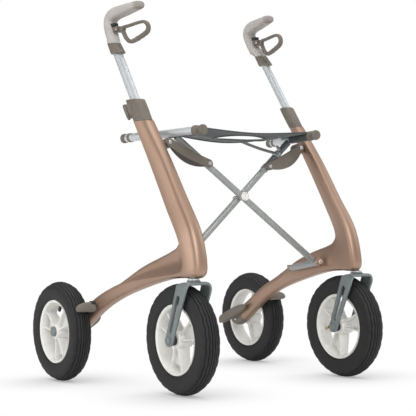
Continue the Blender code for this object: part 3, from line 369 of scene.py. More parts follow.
def frame_ring(rear_y, rear_z, front_y, front_z, x, half, toe, crease, web):
    """One section: a round nose in front or below, the outer face to the crease, the web, the inner face."""
    chord = sqrt((rear_y - front_y) ** 2 + (rear_z - front_z) ** 2)
    nose = min(half / chord, NOSE_LIMIT * crease)
    tail = TAIL_SHARE * half / chord
    outline = []
    for k in range(ARC_STEPS + 1):
        t = pi * k / ARC_STEPS - pi / 2
        bulge = max(0, cos(t)) ** NOSE_ROUND
        outline.append((nose * (1 - bulge), copysign(abs(sin(t)) ** NOSE_ROUND, t)))
    for k in range(1, FACE_STEPS + 1):
        s = k / FACE_STEPS
        outline.append((nose + (crease - nose) * s, 1 + FACE_CROWN * sin(pi * s)))
    for k in range(1, WEB_STEPS + 1):
        s = k / WEB_STEPS
        outline.append((crease + (1 - tail - crease) * s, web + (1 - web) * max(0, 1 - s / WEB_RUN) ** 2))
    for k in range(1, ARC_STEPS):
        t = pi / 2 - pi * k / ARC_STEPS
        outline.append((1 - tail + tail * cos(t), (web - 1) / 2 + (web + 1) / 2 * sin(t)))
    for k in range(WEB_STEPS):
        s = 1 - k / WEB_STEPS
        outline.append((nose + (1 - tail - nose) * s, -1 - INNER_CROWN * sin(pi * s)))
    ring = []
    for u, v in outline:
        y = front_y + (rear_y - front_y) * u
        z = front_z + (rear_z - front_z) * u
        toed = tan(radians(toe)) * (y - (rear_y + front_y) / 2)
        ring.append(Vector((x + v * half + toed, y, z)))
    return ring


def copper_lacquer():
    """Satin copper lacquer: fine flake, a slow drift of tone, faint orange peel and an uneven gloss."""
    fixed = {"Metallic": 0.7, "Coat Roughness": 0.3, "Coat IOR": 1.45}
    material, shader, place = new_finish("copper_lacquer", fixed)
    flake = place.noise(2600, 1)
    drift = place.noise(5, 2)
    scuff = place.noise(60, 2)
    tone = (drift * 0.9 + flake * 0.1).blend((0.33, 0.213, 0.152), (0.43, 0.290, 0.215))
    feed(shader, Base_Color=tone, Roughness=0.38 + scuff * 0.1, Coat_Weight=0.05 + scuff * 0.1)
    feed(shader, Normal=place.noise(150, 1).relief(0.00001, 0.15))
    return material


COPPER = copper_lacquer()
rings = [frame_ring(*row) for row in through(POST_TO_LEG, FRAME_STEPS)]
leg_foot = rings[LEG_FOOT:]
side_frame = sweep("moulding", rings[:LEG_FOOT + 1])
bored(side_frame, HANDLE_TOP - SLIDE * BORE_DEPTH, HANDLE_TOP)
pair(smoothed(side_frame, angle=30), COPPER, "frame", "copper_lacquer", "side_frame")


# Clamp collars: a moulded taupe block on the top of each post, with level ends, a rounded section and a
# shadow line near its foot. An oval fluted knob, on a stud at the outer rear corner, draws it tight on the
# handle tube.
COLLAR_FOOT = 0.6380
COLLAR_DEPTH = 0.0222
COLLAR_WIDTH = 0.0172
COLLAR_ROUND = 2.5
COLLAR_POINTS = 48
COLLAR_LEVELS = (
    (0.0, -0.0016), (0.0008, -0.0004), (0.0020, 0.0), (0.0062, 0.0), (0.0066, -0.0007), (0.0074, -0.0007),
    (0.0078, 0.0), (0.0300, 0.0004), (0.0525, 0.0), (0.0545, -0.0006), (0.0555, -0.0022),
)
COLLAR_BORE = (-0.1, 0.03)
KNOB_WAY = Vector(joint["left_knob_turn"]["axis"])
KNOB_FACE = 0.0231
KNOB_BOSS = ((-0.0080, 0.0120, 0.0208), (0.0023, 0.0120, 0.0208), (0.0033, 0.0112, 0.0200))
KNOB_STEPS = (  # distance along the stud, half width, half length, share of the flutes
    (0.0036, 0.0112, 0.0202, 0.2), (0.0041, 0.0127, 0.0217, 0.7), (0.0052, 0.0135, 0.0225, 1),
    (0.0078, 0.0135, 0.0225, 1), (0.0094, 0.0129, 0.0219, 0.8), (0.0106, 0.0114, 0.0204, 0.3),
    (0.0110, 0.0085, 0.0170, 0), (0.0106, 0.0066, 0.0142, 0), (0.0106, 0.0050, 0.0118, 0),
)
KNOB_POINTS = 84
KNOB_FLUTES = 14
FLUTE_DEEP = 0.0008
UP = Vector((0, 0, 1))
SIDEWAYS = Vector((1, 0, 0))


def joint_at(name):
    """Where a joint's axis lies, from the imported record."""
    return Vector(joint[name]["pos_m"])


def mottled(name, fixed, broad, fine, share, tones, rough, relief):
    """A finish of two noises, each given by its scale, detail and stretch: broad patches, with a share of the
    fine grain, run between two tones and vary the roughness, and the grain is the relief."""
    material, shader, place = new_finish(name, fixed)
    patch = place.noise(*broad)
    grain = place.noise(*fine)
    tone = (patch * (1 - share) + grain * share).blend(*tones)
    feed(shader, Base_Color=tone, Roughness=rough[0] + patch * rough[1], Normal=grain.relief(*relief))
    return material


def squared_ring(centre, long_way, wide_way, length, width, power, count=40):
    """A rounded oblong about a point."""
    ring = []
    for t in turns(count):
        along = copysign(abs(cos(t)) ** (2 / power), cos(t))
        across = copysign(abs(sin(t)) ** (2 / power), sin(t))
        ring.append(centre + long_way * (along * length) + wide_way * (across * width))
    return ring


def joined(name, *pieces):
    """Several shells as one object."""
    bpy.ops.object.select_all(action="DESELECT")
    for part in pieces:
        part.select_set(True)
    bpy.context.view_layer.objects.active = pieces[0]
    bpy.ops.object.join()
    pieces[0].name = name
    return pieces[0]


def turned(name, start, axis, steps, count=36):
    """A turned piece: steps are the distance along the axis and the radius there."""
    axis = axis.normalized()
    first = axis.cross(UP if abs(axis.z) < 0.9 else SIDEWAYS).normalized()
    second = axis.cross(first)
    return sweep(name, [squared_ring(start + axis * d, first, second, r, r, 2, count) for d, r in steps])


TAUPE = mottled(
    "taupe_plastic", {"Specular IOR Level": 0.4}, broad=(35, 4), fine=(1500, 2), share=0.1,
    tones=((0.126, 0.107, 0.086), (0.196, 0.169, 0.139)), rough=(0.44, 0.2), relief=(0.00003, 0.2),
)
toed_back = Vector((tan(TUBE_TOE), 1, 0))
rings = []
for rise, swell in COLLAR_LEVELS:
    centre = HANDLE_TOP - SLIDE * ((HANDLE_TOP.z - COLLAR_FOOT - rise) / SLIDE.z)
    depth, width = COLLAR_DEPTH + swell, COLLAR_WIDTH + swell
    rings.append(squared_ring(centre, toed_back, SIDEWAYS, depth, width, COLLAR_ROUND, COLLAR_POINTS))
collar = sweep("clamp_collar", rings)
bored(collar, *[HANDLE_TOP + SLIDE * way for way in COLLAR_BORE])
knob_face = joint_at("left_knob_turn") + KNOB_WAY * KNOB_FACE
knob_wide = KNOB_WAY.cross(SLIDE)
rings = []
for distance, half_wide, half_long in KNOB_BOSS:
    rings.append(squared_ring(knob_face + KNOB_WAY * distance, SLIDE, knob_wide, half_long, half_wide, 2))
collar = joined("clamp_collar", collar, sweep("knob_boss", rings))
pair(smoothed(collar, angle=35), TAUPE, "frame", "taupe_plastic", "collar")

rings = []
for distance, half_wide, half_long, fluted in KNOB_STEPS:
    centre = knob_face + KNOB_WAY * distance
    ring = []
    for t in turns(KNOB_POINTS):
        dip = FLUTE_DEEP * fluted * (0.5 - 0.5 * cos(KNOB_FLUTES * t)) ** 2
        ring.append(centre + knob_wide * ((half_wide - dip) * cos(t)) + SLIDE * ((half_long - dip) * sin(t)))
    rings.append(ring)
pair(smoothed(sweep("fluted_knob", rings), angle=40), TAUPE, "knob", "taupe_plastic", "clamp_knob")


# Handle tubes: oval drawn aluminium, satin anodised a cool silver with fine lengthwise brushing, that slide
# in the collars; an etched line every 25 mm marks the height.
HANDLE_INSERT = 0.1700
HANDLE_SHOWN = 0.1480
SLEEVE_LENGTH = 0.0330
SLEEVE_END = 0.0125
MARK_PITCH = 0.025
MARK_COUNT = 4
MARK_SHAPE = ((-0.0004, 0), (-0.0002, 0.0002), (0.0002, 0.0002), (0.0004, 0))


def silver_anodised(name, along):
    """Satin anodised aluminium with streaks drawn out along the given way."""
    material, shader, place = new_finish(name, {"Metallic": 0.5, "Specular IOR Level": 0.4})
    turn = along.to_track_quat("Z", "Y").inverted().to_euler()
    laid = place.node("Mapping", {}, {"Vector": place, "Rotation": tuple(turn)})
    streak = laid.noise(500, 1, (1, 1, 0.012))
    cloud = place.noise(18, 3)
    tone = (streak * 0.3 + cloud * 0.7).blend((0.52, 0.545, 0.565), (0.62, 0.645, 0.66))
    feed(shader, Base_Color=tone, Roughness=0.44 + streak * 0.08)
    feed(shader, Normal=streak.relief(0.00001, 0.1))
    return material


HANDLE_SILVER = silver_anodised("silver_handle", SLIDE)
grip_foot = HANDLE_TOP + SLIDE * (HANDLE_SHOWN + SLEEVE_LENGTH)
places = [(-HANDLE_INSERT, 0)]
for k in range(1, MARK_COUNT + 1):
    places += [(MARK_PITCH * k + shift, dip) for shift, dip in MARK_SHAPE]
places.append((HANDLE_SHOWN + SLEEVE_LENGTH - SLEEVE_END, 0))
rings = [oval_ring(HANDLE_TOP + SLIDE * at, SLIDE, TUBE_DEPTH - dip, TUBE_WIDTH - dip) for at, dip in places]
pair(smoothed(sweep("oval_tube", rings), angle=40), HANDLE_SILVER, "handle", "silver_anodised", "handle_tube")


# Grips: a soft greige moulding that bends from the tube to lie level under the hand, broad under the palm and
# narrow at the tip, on a taupe sleeve with level ends and a lip in front. The tip runs into a darker
# overmould, and painted shade darkens the underside to the same tone.
SLEEVE_DEPTH = 0.0182
SLEEVE_WIDTH = 0.0160
SLEEVE_LIP = 0.0075
SLEEVE_PLACES = ((0.0, 0.97), (0.02, 1.02), (0.08, 1.04), (0.5, 1.02), (0.96, 1.0), (1.0, 0.985))
GRIP_PATH = (  # y, z, half height, half width, x
    (0.0755, 0.8615, 0.0150, 0.0155, 0.2240), (0.0880, 0.8835, 0.0150, 0.0158, 0.2222),
    (0.0945, 0.9025, 0.0155, 0.0165, 0.2198), (0.0900, 0.9165, 0.0162, 0.0175, 0.2172),
    (0.0720, 0.9245, 0.0158, 0.0180, 0.2140), (0.0400, 0.9275, 0.0142, 0.0180, 0.2090),
    (0.0080, 0.9300, 0.0120, 0.0172, 0.2042), (-0.0130, 0.9314, 0.0104, 0.0154, 0.2012),
    (-0.0205, 0.9314, 0.0086, 0.0128, 0.2002), (-0.0240, 0.9312, 0.0056, 0.0086, 0.1997),
    (-0.0250, 0.9311, 0.0026, 0.0044, 0.1995),
)
GRIP_STEPS = 6
GRIP_ROUND = 2.3
GRIP_LAP = 0.0012
GRIP_FOOT_SHARE = 0.98
TIP_AT = -0.012
TIP_SHARP = 90


def grip_plastic():
    """Soft-touch greige with fine pores; a darker taupe overmould at the tip and painted shade below."""
    material, shader, place = new_finish("grip_plastic", {"Specular IOR Level": 0.35})
    pores = place.noise(1800, 2)
    mottle = place.noise(40, 4)
    pale = (mottle * 0.9 + pores * 0.1).blend((0.405, 0.376, 0.352), (0.520, 0.487, 0.458))
    forward = place.node("SeparateXYZ", {}, {0: place}, "Y")
    tip = ((TIP_AT - forward) * TIP_SHARP + 0.5).limit()
    # Painted shade: the colour darkens towards the overmould's tone where the surface faces down.
    facing = place.node("NewGeometry", {}, {}, "Normal")
    below = (facing.node("SeparateXYZ", {}, {0: facing}, "Z") * -2.4 - 1.0).limit()
    feed(shader, Base_Color=(tip * 0.55 + below * 0.25).limit().blend(pale, (0.20, 0.172, 0.145)))
    feed(shader, Roughness=0.50 + mottle * 0.2, Normal=pores.relief(0.00003, 0.2))
    return material


GREIGE = grip_plastic()
rings = []
for share, grow in SLEEVE_PLACES:
    at = grip_foot - SLIDE * (SLEEVE_LENGTH * (1 - share))
    ring = oval_ring(at, UP, SLEEVE_DEPTH * grow, SLEEVE_WIDTH * grow)
    lip = [SLEEVE_LIP * (1 - share) * max(0, (at - p).y / SLEEVE_DEPTH) ** 2 for p in ring]
    rings.append([p - Vector((0, reach, 0)) for p, reach in zip(ring, lip)])
sleeve = sweep("sleeve", rings)
bored(sleeve, HANDLE_TOP, grip_foot - SLIDE * (SLEEVE_END - BORE_GAP))
pair(smoothed(sleeve, angle=40), TAUPE, "handle", "taupe_plastic", "grip_sleeve")

path = through(GRIP_PATH, GRIP_STEPS)
foot_size = SLEEVE_DEPTH * GRIP_FOOT_SHARE, SLEEVE_WIDTH * GRIP_FOOT_SHARE
rings = [oval_ring(grip_foot + SLIDE * BORE_GAP, UP, *foot_size)]
rings.append(oval_ring(grip_foot + SLIDE * GRIP_LAP, UP, SLEEVE_DEPTH, SLEEVE_WIDTH))
for i, (y, z, high, wide, x) in enumerate(path):
    ahead, behind = path[min(i + 1, len(path) - 1)], path[max(i - 1, 0)]
    run = Vector((ahead[4] - behind[4], ahead[0] - behind[0], ahead[1] - behind[1])).normalized()
    wide_way = (run * run.x - SIDEWAYS).normalized()
    high_way = wide_way.cross(run)
    rings.append(squared_ring(Vector((x, y, z)), high_way, wide_way, high, wide, GRIP_ROUND))
pair(smoothed(sweep("hand_grip", rings), angle=50), GREIGE, "handle", "grip_plastic", "grip")


# Brake levers: a closed loop of taupe plastic under each grip, thicker and ribbed where the fingers pull it,
# hung on a steel pin in a short moulded fork. A black cam pocket sits between the fork and the grip.
LEVER_LOOP = (  # y, z, half height
    (0.040, 0.8815, 0.0042), (0.006, 0.8840, 0.0036), (-0.030, 0.8857, 0.0036), (-0.049, 0.8830, 0.0040),
    (-0.0600, 0.8725, 0.0046), (-0.0580, 0.8600, 0.0052), (-0.039, 0.8520, 0.0052), (-0.006, 0.8440, 0.0050),
    (0.010, 0.8440, 0.0046), (0.024, 0.8535, 0.0042), (0.034, 0.8685, 0.0042),
)
LEVER_TOE = radians(7.5)
LEVER_STEPS = 8
LEVER_HALF = 0.0055
LEVER_ROUND = 3
LEVER_POINTS = 20
RIBBED = (5, 7)
RIB_PITCH = 4
RIB_RISE = 0.0007
LEVER_PIVOT = joint_at("left_lever_squeeze")
LEVER_HUB_R = 0.0080
NECK_HALF = 0.0050
NECK_ENDS = ((LEVER_PIVOT.y, LEVER_PIVOT.z, 0.0062), (0.0330, 0.8780, 0.0066))
POCKET_AT = Vector((0.2212, 0.0730, 0.8935))
POCKET_SIZE = (0.0072, 0.0095, 0.0050)
POCKET_BEVEL = 0.0018
WELD_GAP = 0.00002
EASE_WIDTH = 0.0006
SHARP_ANGLE = radians(40)


def lever_at(y, z):
    """A point in the lever's middle plane, which toes in towards the front."""
    return Vector((LEVER_PIVOT.x - tan(LEVER_TOE) * (LEVER_PIVOT.y - y), y, z))


def looped(rows, steps):
    """Catmull-Rom rows round a closed loop."""
    return through((rows[-1], *rows, rows[0], rows[1]), steps)[steps:(len(rows) + 1) * steps]


def rounded_box(name, centre, size, bevel):
    """A cube drawn to size with its edges bevelled."""
    bpy.ops.object.select_all(action="DESELECT")
    bpy.ops.mesh.primitive_cube_add(size=2)
    piece = bpy.context.object
    piece.name = name
    piece.data.transform(Matrix.Translation(centre) @ Matrix.Diagonal((*size, 1)))
    bpy.ops.object.mode_set(mode="EDIT")
    bpy.ops.mesh.select_all(action="SELECT")
    bpy.ops.mesh.bevel(offset=bevel, segments=4, affect="EDGES")
    bpy.ops.object.mode_set(mode="OBJECT")
    return piece


def eased(start, end, radius, run, drop):
    """Steps of a plain round piece with eased ends."""
    return (start, radius - drop), (start + run, radius), (end - run, radius), (end, radius - drop)


def carried(node, material):
    """A solid of the frame kept for its looks: welded, its edges eased and shaded, with a real material."""
    kept = bpy.data.objects[node]
    kept.data.materials.clear()
    kept.data.materials.append(material)
    for polygon in kept.data.polygons:
        polygon.use_smooth = True
    kept.modifiers.new("weld", "WELD").merge_threshold = WELD_GAP
    ease = kept.modifiers.new("ease", "BEVEL")
    ease.width = EASE_WIDTH
    ease.segments = 2
    ease.angle_limit = SHARP_ANGLE
    kept.modifiers.new("sharp", "EDGE_SPLIT").split_angle = SHARP_ANGLE


BLACK = mottled(
    "black_plastic", {"Specular IOR Level": 0.4}, broad=(120, 5), fine=(1600, 2), share=0,
    tones=((0.012, 0.012, 0.013), (0.030, 0.029, 0.028)), rough=(0.36, 0.3), relief=(0.00003, 0.2),
)
ZINC = mottled(
    "zinc_steel", {"Metallic": 0.9}, broad=(140, 4), fine=(2400, 2, (0.04, 1, 1)), share=0,
    tones=((0.60, 0.61, 0.63), (0.82, 0.83, 0.84)), rough=(0.24, 0.2), relief=(0.00001, 0.2),
)
path = looped(LEVER_LOOP, LEVER_STEPS)
rings = []
for i, (y, z, half) in enumerate(path):
    ahead, behind = path[(i + 1) % len(path)], path[i - 1]
    run = Vector((0, ahead[0] - behind[0], ahead[1] - behind[1])).normalized()
    ribbed = RIBBED[0] * LEVER_STEPS <= i < RIBBED[1] * LEVER_STEPS and i % RIB_PITCH < RIB_PITCH / 2
    high = half + (RIB_RISE if ribbed else 0)
    across = run.cross(SIDEWAYS)
    rings.append(squared_ring(lever_at(y, z), SIDEWAYS, across, LEVER_HALF, high, LEVER_ROUND, LEVER_POINTS))
loop = sweep("loop", rings, closed=True)
hub_steps = eased(-LEVER_HALF, LEVER_HALF, LEVER_HUB_R, run=0.0005, drop=0.0010)
hub = turned("lever_hub", LEVER_PIVOT, SIDEWAYS, hub_steps)
neck = sweep("neck", [squared_ring(lever_at(y, z), SIDEWAYS, UP, NECK_HALF, half, LEVER_ROUND, LEVER_POINTS)
                      for y, z, half in NECK_ENDS])
lever = joined("loop_lever", loop, hub, neck)
pair(smoothed(lever, angle=40), TAUPE, "lever", "taupe_plastic", "brake_lever")
pocket = rounded_box("cam_pocket", POCKET_AT, POCKET_SIZE, POCKET_BEVEL)
pair(smoothed(pocket), BLACK, "handle", "taupe_plastic")
for side in SIDES:
    carried(side + "lever_bracket", TAUPE)
    carried(side + "lever_pin", ZINC)


# Wheels: ivory moulded rims with three broad spokes, each a recessed web between two raised ribs, under grey
# rubber tyres with smooth sides, wavy lengthwise grooves and a blocked shoulder. A brass valve with a black
# cap leans in from each rim, and a grey-green cap closes the rear hubs.
AXLE_HEIGHT = joint_at("left_rear_wheel_spin").z
TYRE_SIDE = (
    (0.0140, 0.0806), (0.0196, 0.0812), (0.0222, 0.0846), (0.0226, 0.0862), (0.0236, 0.0868),
    (0.0246, 0.0930), (0.0254, 0.1000), (0.0255, 0.1050), (0.0250, 0.1098), (0.0240, 0.1136),
    (0.0229, 0.1166), (0.0210, 0.1186),
)
TREAD_FALL = 0.0090
TREAD_EDGE = 0.0200
TREAD_CURVE = 2.2
GROOVES = (0.0168, 0.0101, 0.0034)
GROOVE_HALF = 0.0011
GROOVE_FLOOR = 0.55
GROOVE_DEPTH = 0.0026
TYRE_STEPS = 168
WAVES = 28
WAVY_FROM = 0.0085
WAVY_TO = 0.0182
WAVY_R = 0.1170
WAVE_SWAY = 0.0010
SHOULDER_FROM = 0.0205
SHOULDER_R = 0.1150
SHOULDER_DIP = 0.010
RIM_SIDE = (
    (0.0190, 0.0802), (0.0203, 0.0804), (0.0209, 0.0796), (0.0207, 0.0784), (0.0196, 0.0752),
    (0.0184, 0.0738), (0.0130, 0.0727), (0.0060, 0.0718),
)
RIM_STEPS = 96
HUB_STEPS = 48
HUB_SIDE = ((0.0200, 0.0062), (0.0200, 0.0160), (0.0192, 0.0180), (0.0172, 0.0192), (0.0080, 0.0205))
SPOKES = 3
RIB_ANGLE = radians(17.5)
RIB_ANGLE_AT_HUB = radians(20)
RIB_PLACES = (
    (0.0170, 0.0170, 0.0026), (0.030, 0.0156, 0.0023), (0.050, 0.0138, 0.0022), (0.0735, 0.0128, 0.0026),
)
WEB_PLACES = ((0.0170, 0.0046), (0.040, 0.0040), (0.0585, 0.0036), (0.0595, 0.0030))
SPOKE_ROUND = 6
SPOKE_POINTS = 24
VALVE_FOOT = Vector((0.0030, 0, 0.0730))
VALVE_WAY = Vector((0.35, -0.18, -1)).normalized()
VALVE_STEPS = ((0.0, 0.0042), (0.0022, 0.0040), (0.0026, 0.0026), (0.0110, 0.0026))
VALVE_CAP_STEPS = ((0.0095, 0.0038), (0.0100, 0.0042), (0.0205, 0.0040), (0.0222, 0.0034), (0.0228, 0.0018))
CAP_STEPS = ((0.0185, 0.0128), (0.0222, 0.0130), (0.0250, 0.0122), (0.0264, 0.0098), (0.0269, 0.0050))
WHEELS = (  # side, end, handedness, the degrees that the spokes and the valve stand at
    ("left_", "front_", 1, 200, 262), ("left_", "rear_", 1, 35, 97),
    ("right_", "front_", -1, 188, 0), ("right_", "rear_", -1, 173, 8),
)


def spun(name, profile, steps):
    """A closed outline of distances along X and radii, spun a full turn round the X axis."""
    bpy.ops.object.select_all(action="DESELECT")
    bpy.ops.mesh.primitive_circle_add(vertices=len(profile), fill_type="NOTHING")
    piece = bpy.context.object
    piece.name = name
    for vertex, (distance, radius) in zip(piece.data.vertices, profile):
        vertex.co = (distance, 0, radius)
    bpy.ops.object.mode_set(mode="EDIT")
    bpy.ops.mesh.select_all(action="SELECT")
    bpy.ops.mesh.spin(steps=steps, angle=2 * pi, center=(0, 0, 0), axis=(1, 0, 0))
    bpy.ops.mesh.select_all(action="SELECT")
    bpy.ops.mesh.remove_doubles(threshold=0.00001)
    bpy.ops.mesh.normals_make_consistent(inside=False)
    bpy.ops.object.mode_set(mode="OBJECT")
    return piece


def both_sides(half):
    """An outline made of a half and its mirror image."""
    return list(half) + [(-d, r) for d, r in reversed(half)]


def rim_plastic():
    """Ivory moulded nylon with a faint drift of tone, a little grime and a fine grain."""
    material, shader, place = new_finish("rim_plastic", {"Specular IOR Level": 0.45})
    drift = place.noise(30, 4)
    grime = (place.noise(90, 6) * 4 - 2.1).limit()
    tone = (grime * 0.5).blend(drift.blend((0.70, 0.695, 0.655), (0.82, 0.815, 0.78)), (0.50, 0.49, 0.46))
    feed(shader, Base_Color=tone, Roughness=0.36 + drift * 0.2)
    feed(shader, Normal=place.noise(1300, 2).relief(0.00003, 0.2))
    return material


RUBBER = mottled(
    "tyre_rubber", {"Specular IOR Level": 0.3}, broad=(70, 6), fine=(1100, 3), share=0.15,
    tones=((0.007, 0.007, 0.008), (0.028, 0.028, 0.028)), rough=(0.48, 0.24), relief=(0.00006, 0.3),
)
BRASS = mottled(
    "brass", {"Metallic": 0.9}, broad=(400, 4), fine=(2600, 1), share=0,
    tones=((0.40, 0.24, 0.06), (0.62, 0.42, 0.14)), rough=(0.25, 0.25), relief=(0.00003, 0.5),
)
CAST_GREY = mottled(
    "fork_paint", {"Metallic": 0.25, "Specular IOR Level": 0.5}, broad=(55, 5), fine=(700, 2), share=0.1,
    tones=((0.140, 0.165, 0.165), (0.225, 0.258, 0.255)), rough=(0.34, 0.22), relief=(0.00003, 0.2),
)
IVORY = rim_plastic()
tread = []
for groove in GROOVES:
    for shift, dip in ((1, 0), (GROOVE_FLOOR, 1), (-GROOVE_FLOOR, 1), (-1, 0)):
        d = groove + GROOVE_HALF * shift
        tread.append((d, AXLE_HEIGHT - TREAD_FALL * (d / TREAD_EDGE) ** TREAD_CURVE - GROOVE_DEPTH * dip))
tyre = spun("tyre", both_sides((*TYRE_SIDE, *tread)), TYRE_STEPS)
for vertex in tyre.data.vertices:
    x, y, z = vertex.co
    radius = sqrt(y * y + z * z)
    wave = sin(WAVES * atan2(y, z))
    if WAVY_FROM < abs(x) < WAVY_TO and radius > WAVY_R:
        vertex.co.x += copysign(WAVE_SWAY, x) * wave
    elif abs(x) > SHOULDER_FROM and radius > SHOULDER_R:
        scale = 1 - SHOULDER_DIP * max(0, wave)
        vertex.co.y *= scale
        vertex.co.z *= scale
smoothed(tyre, angle=38)

parts = [spun("rim", both_sides(RIM_SIDE), RIM_STEPS), spun("hub", both_sides(HUB_SIDE), HUB_STEPS)]
rib_from, rib_to = RIB_PLACES[0][0], RIB_PLACES[-1][0]
for k in range(SPOKES):
    for lean in (-1, 0, 1):
        rings = []
        for r, depth, *half in (WEB_PLACES if lean == 0 else RIB_PLACES):
            share = (r - rib_from) / (rib_to - rib_from)
            spread = RIB_ANGLE_AT_HUB + (RIB_ANGLE - RIB_ANGLE_AT_HUB) * share
            t = 2 * pi * k / SPOKES + lean * spread
            outward = Vector((0, sin(t), cos(t)))
            size = depth, half[0] if half else r * sin(spread)
            wide_way = SIDEWAYS.cross(outward)
            rings.append(squared_ring(outward * r, SIDEWAYS, wide_way, *size, SPOKE_ROUND, SPOKE_POINTS))
        parts.append(sweep("spoke", rings))
rim = smoothed(joined("rim", *parts), angle=35)
stem = smoothed(turned("valve", VALVE_FOOT, VALVE_WAY, VALVE_STEPS, count=20))
stem_cap = smoothed(turned("valve_cap", VALVE_FOOT, VALVE_WAY, VALVE_CAP_STEPS, count=20))
hub_cap = smoothed(turned("hub_cap", Vector((0, 0, 0)), SIDEWAYS, CAP_STEPS), angle=40)
for side, end, way, phase, valve in WHEELS:
    wheel_body = side + end + "wheel"
    centre = joint_at(wheel_body + "_spin")
    handed = Matrix.Translation(centre) @ Matrix.Diagonal((way, 1, 1, 1))
    place = handed @ Matrix.Rotation(radians(phase), 4, "X")
    lean = handed @ Matrix.Rotation(radians(valve), 4, "X")
    fittings = [
        (tyre, place, RUBBER, "tyre_rubber", "tyre"), (rim, place, IVORY, "rim_plastic", "rim"),
        (stem, lean, BRASS, "zinc_steel", None), (stem_cap, lean, BLACK, "tyre_rubber", None),
    ]
    if end == "rear_":
        fittings.append((hub_cap, place, CAST_GREY, "fork_paint", None))
    for shape, move, material, slot, node in fittings:
        copy = copied(shape, side + end + shape.name + "_made", move)
        fitted(copy, material, wheel_body, slot, *([side + end + node] if node else []))
for shape in (tyre, rim, stem, stem_cap, hub_cap):
    bpy.data.objects.remove(shape)


# Caster forks: one cast arch each in grey-green paint, level on top, its legs slotted and round-footed, on a
# stem that turns in the frame's knee; a bolt with domed heads and dark spacers carries the wheel.
FORK_AXLE = joint_at("left_front_wheel_spin")
STEM_AT = joint_at("left_caster_swivel")
FORK_LEG_X = 0.03375
FORK_THICK = 0.0038
FORK_CORNER = 0.0110
FORK_CROWN = Vector((0, -0.0585, 0.1270))
FORK_REACH = FORK_CROWN.length
FORK_UP = FORK_CROWN.normalized()
FORK_ACROSS = Vector((0, FORK_UP.z, -FORK_UP.y))
CROWN_HALF = 0.0152
CROWN_FLAT = 0.008
CORNER_STEPS = 6
FORK_ROUND = 4.5
FORK_POINTS = 28
FORK_WIDTHS = (
    (-0.0138, 0.0030), (-0.0125, 0.0064), (-0.0095, 0.0104), (-0.0050, 0.0132), (0.0, 0.0142),
    (0.014, 0.0146), (0.032, 0.0150), (0.055, 0.0158), (0.080, 0.0170), (0.105, 0.0184),
    (FORK_REACH - FORK_CORNER, 0.0194),
)
SLOT = (0.0235, 0.1060, 0.0052, 0.0062)
SLOT_POINTS = 24
SLOT_CUT = 0.06
STEM_STEPS = (
    (0.2576, 0.0150), (0.2580, 0.0156), (0.2596, 0.0156), (0.2608, 0.0136), (0.2621, 0.0112),
    (0.2640, 0.0112), (0.2642, 0.0075), (0.2925, 0.0075), (0.2935, 0.0065),
)
SPACER_STEPS = ((0.2612, 0.0120), (0.2615, 0.0132), (0.2640, 0.0132), (0.2645, 0.0124))
BOLT_HALF = (
    (0.0374, 0.0060), (0.0376, 0.0105), (0.0400, 0.0100), (0.0414, 0.0082), (0.0420, 0.0050),
)
HUB_SPACER_STEPS = ((0.0202, 0.0108), (0.0206, 0.0118), (0.0288, 0.0118), (0.0296, 0.0108))

half_path = [(FORK_LEG_X, s, half, 0.0) for s, half in FORK_WIDTHS]
corner_half = FORK_WIDTHS[-1][1]
for k in range(1, CORNER_STEPS + 1):
    turn = pi / 2 * k / CORNER_STEPS
    x = FORK_LEG_X - FORK_CORNER * (1 - cos(turn))
    half = corner_half + (CROWN_HALF - corner_half) * k / CORNER_STEPS
    half_path.append((x, FORK_REACH - FORK_CORNER * (1 - sin(turn)), half, turn))
half_path.append((CROWN_FLAT, FORK_REACH, CROWN_HALF, pi / 2))
path = half_path + [(-x, s, half, pi - turn) for x, s, half, turn in reversed(half_path)]
rings = []
for x, s, half, turn in path:
    level = sin(turn)
    outward = SIDEWAYS * cos(turn) + FORK_UP.lerp(UP, level).normalized() * level
    fore_aft = FORK_ACROSS.lerp(Vector((0, 1, 0)), level).normalized()
    at = FORK_AXLE + SIDEWAYS * x + FORK_UP * s
    rings.append(squared_ring(at, fore_aft, outward, half, FORK_THICK, FORK_ROUND, FORK_POINTS))
fork = sweep("fork_arch", rings)
foot, head, foot_half, head_half = SLOT
slot_ring = []
for t in turns(SLOT_POINTS):
    base, half = (head, head_half) if sin(t) >= 0 else (foot, foot_half)
    slot_ring.append(FORK_AXLE + FORK_ACROSS * (half * cos(t)) + FORK_UP * (base + half * sin(t)))
cut_away(fork, [[p + SIDEWAYS * x for p in slot_ring] for x in (-SLOT_CUT, SLOT_CUT)])
pair(smoothed(fork, angle=35), CAST_GREY, "caster", "fork_paint", "fork")
stem_foot = Vector((STEM_AT.x, STEM_AT.y, 0))
steer = turned("stem_cone", stem_foot, UP, STEM_STEPS, count=40)
pair(smoothed(steer), CAST_GREY, "caster", "zinc_steel", "steering_stem")
spacer = turned("stem_spacer", stem_foot, UP, SPACER_STEPS, count=40)
pair(smoothed(spacer), ZINC, "caster", "zinc_steel")
bolt_steps = [(-d, r) for d, r in reversed(BOLT_HALF)] + list(BOLT_HALF)
bolt = turned("axle_bolt", FORK_AXLE, SIDEWAYS, bolt_steps)
pair(smoothed(bolt), CAST_GREY, "caster", "zinc_steel", "front_axle")
for end, way in (("outer", 1), ("inner", -1)):
    washer = turned(end + "_hub_spacer", FORK_AXLE, SIDEWAYS * way, HUB_SPACER_STEPS)
    pair(smoothed(washer), BLACK, "caster", "zinc_steel")


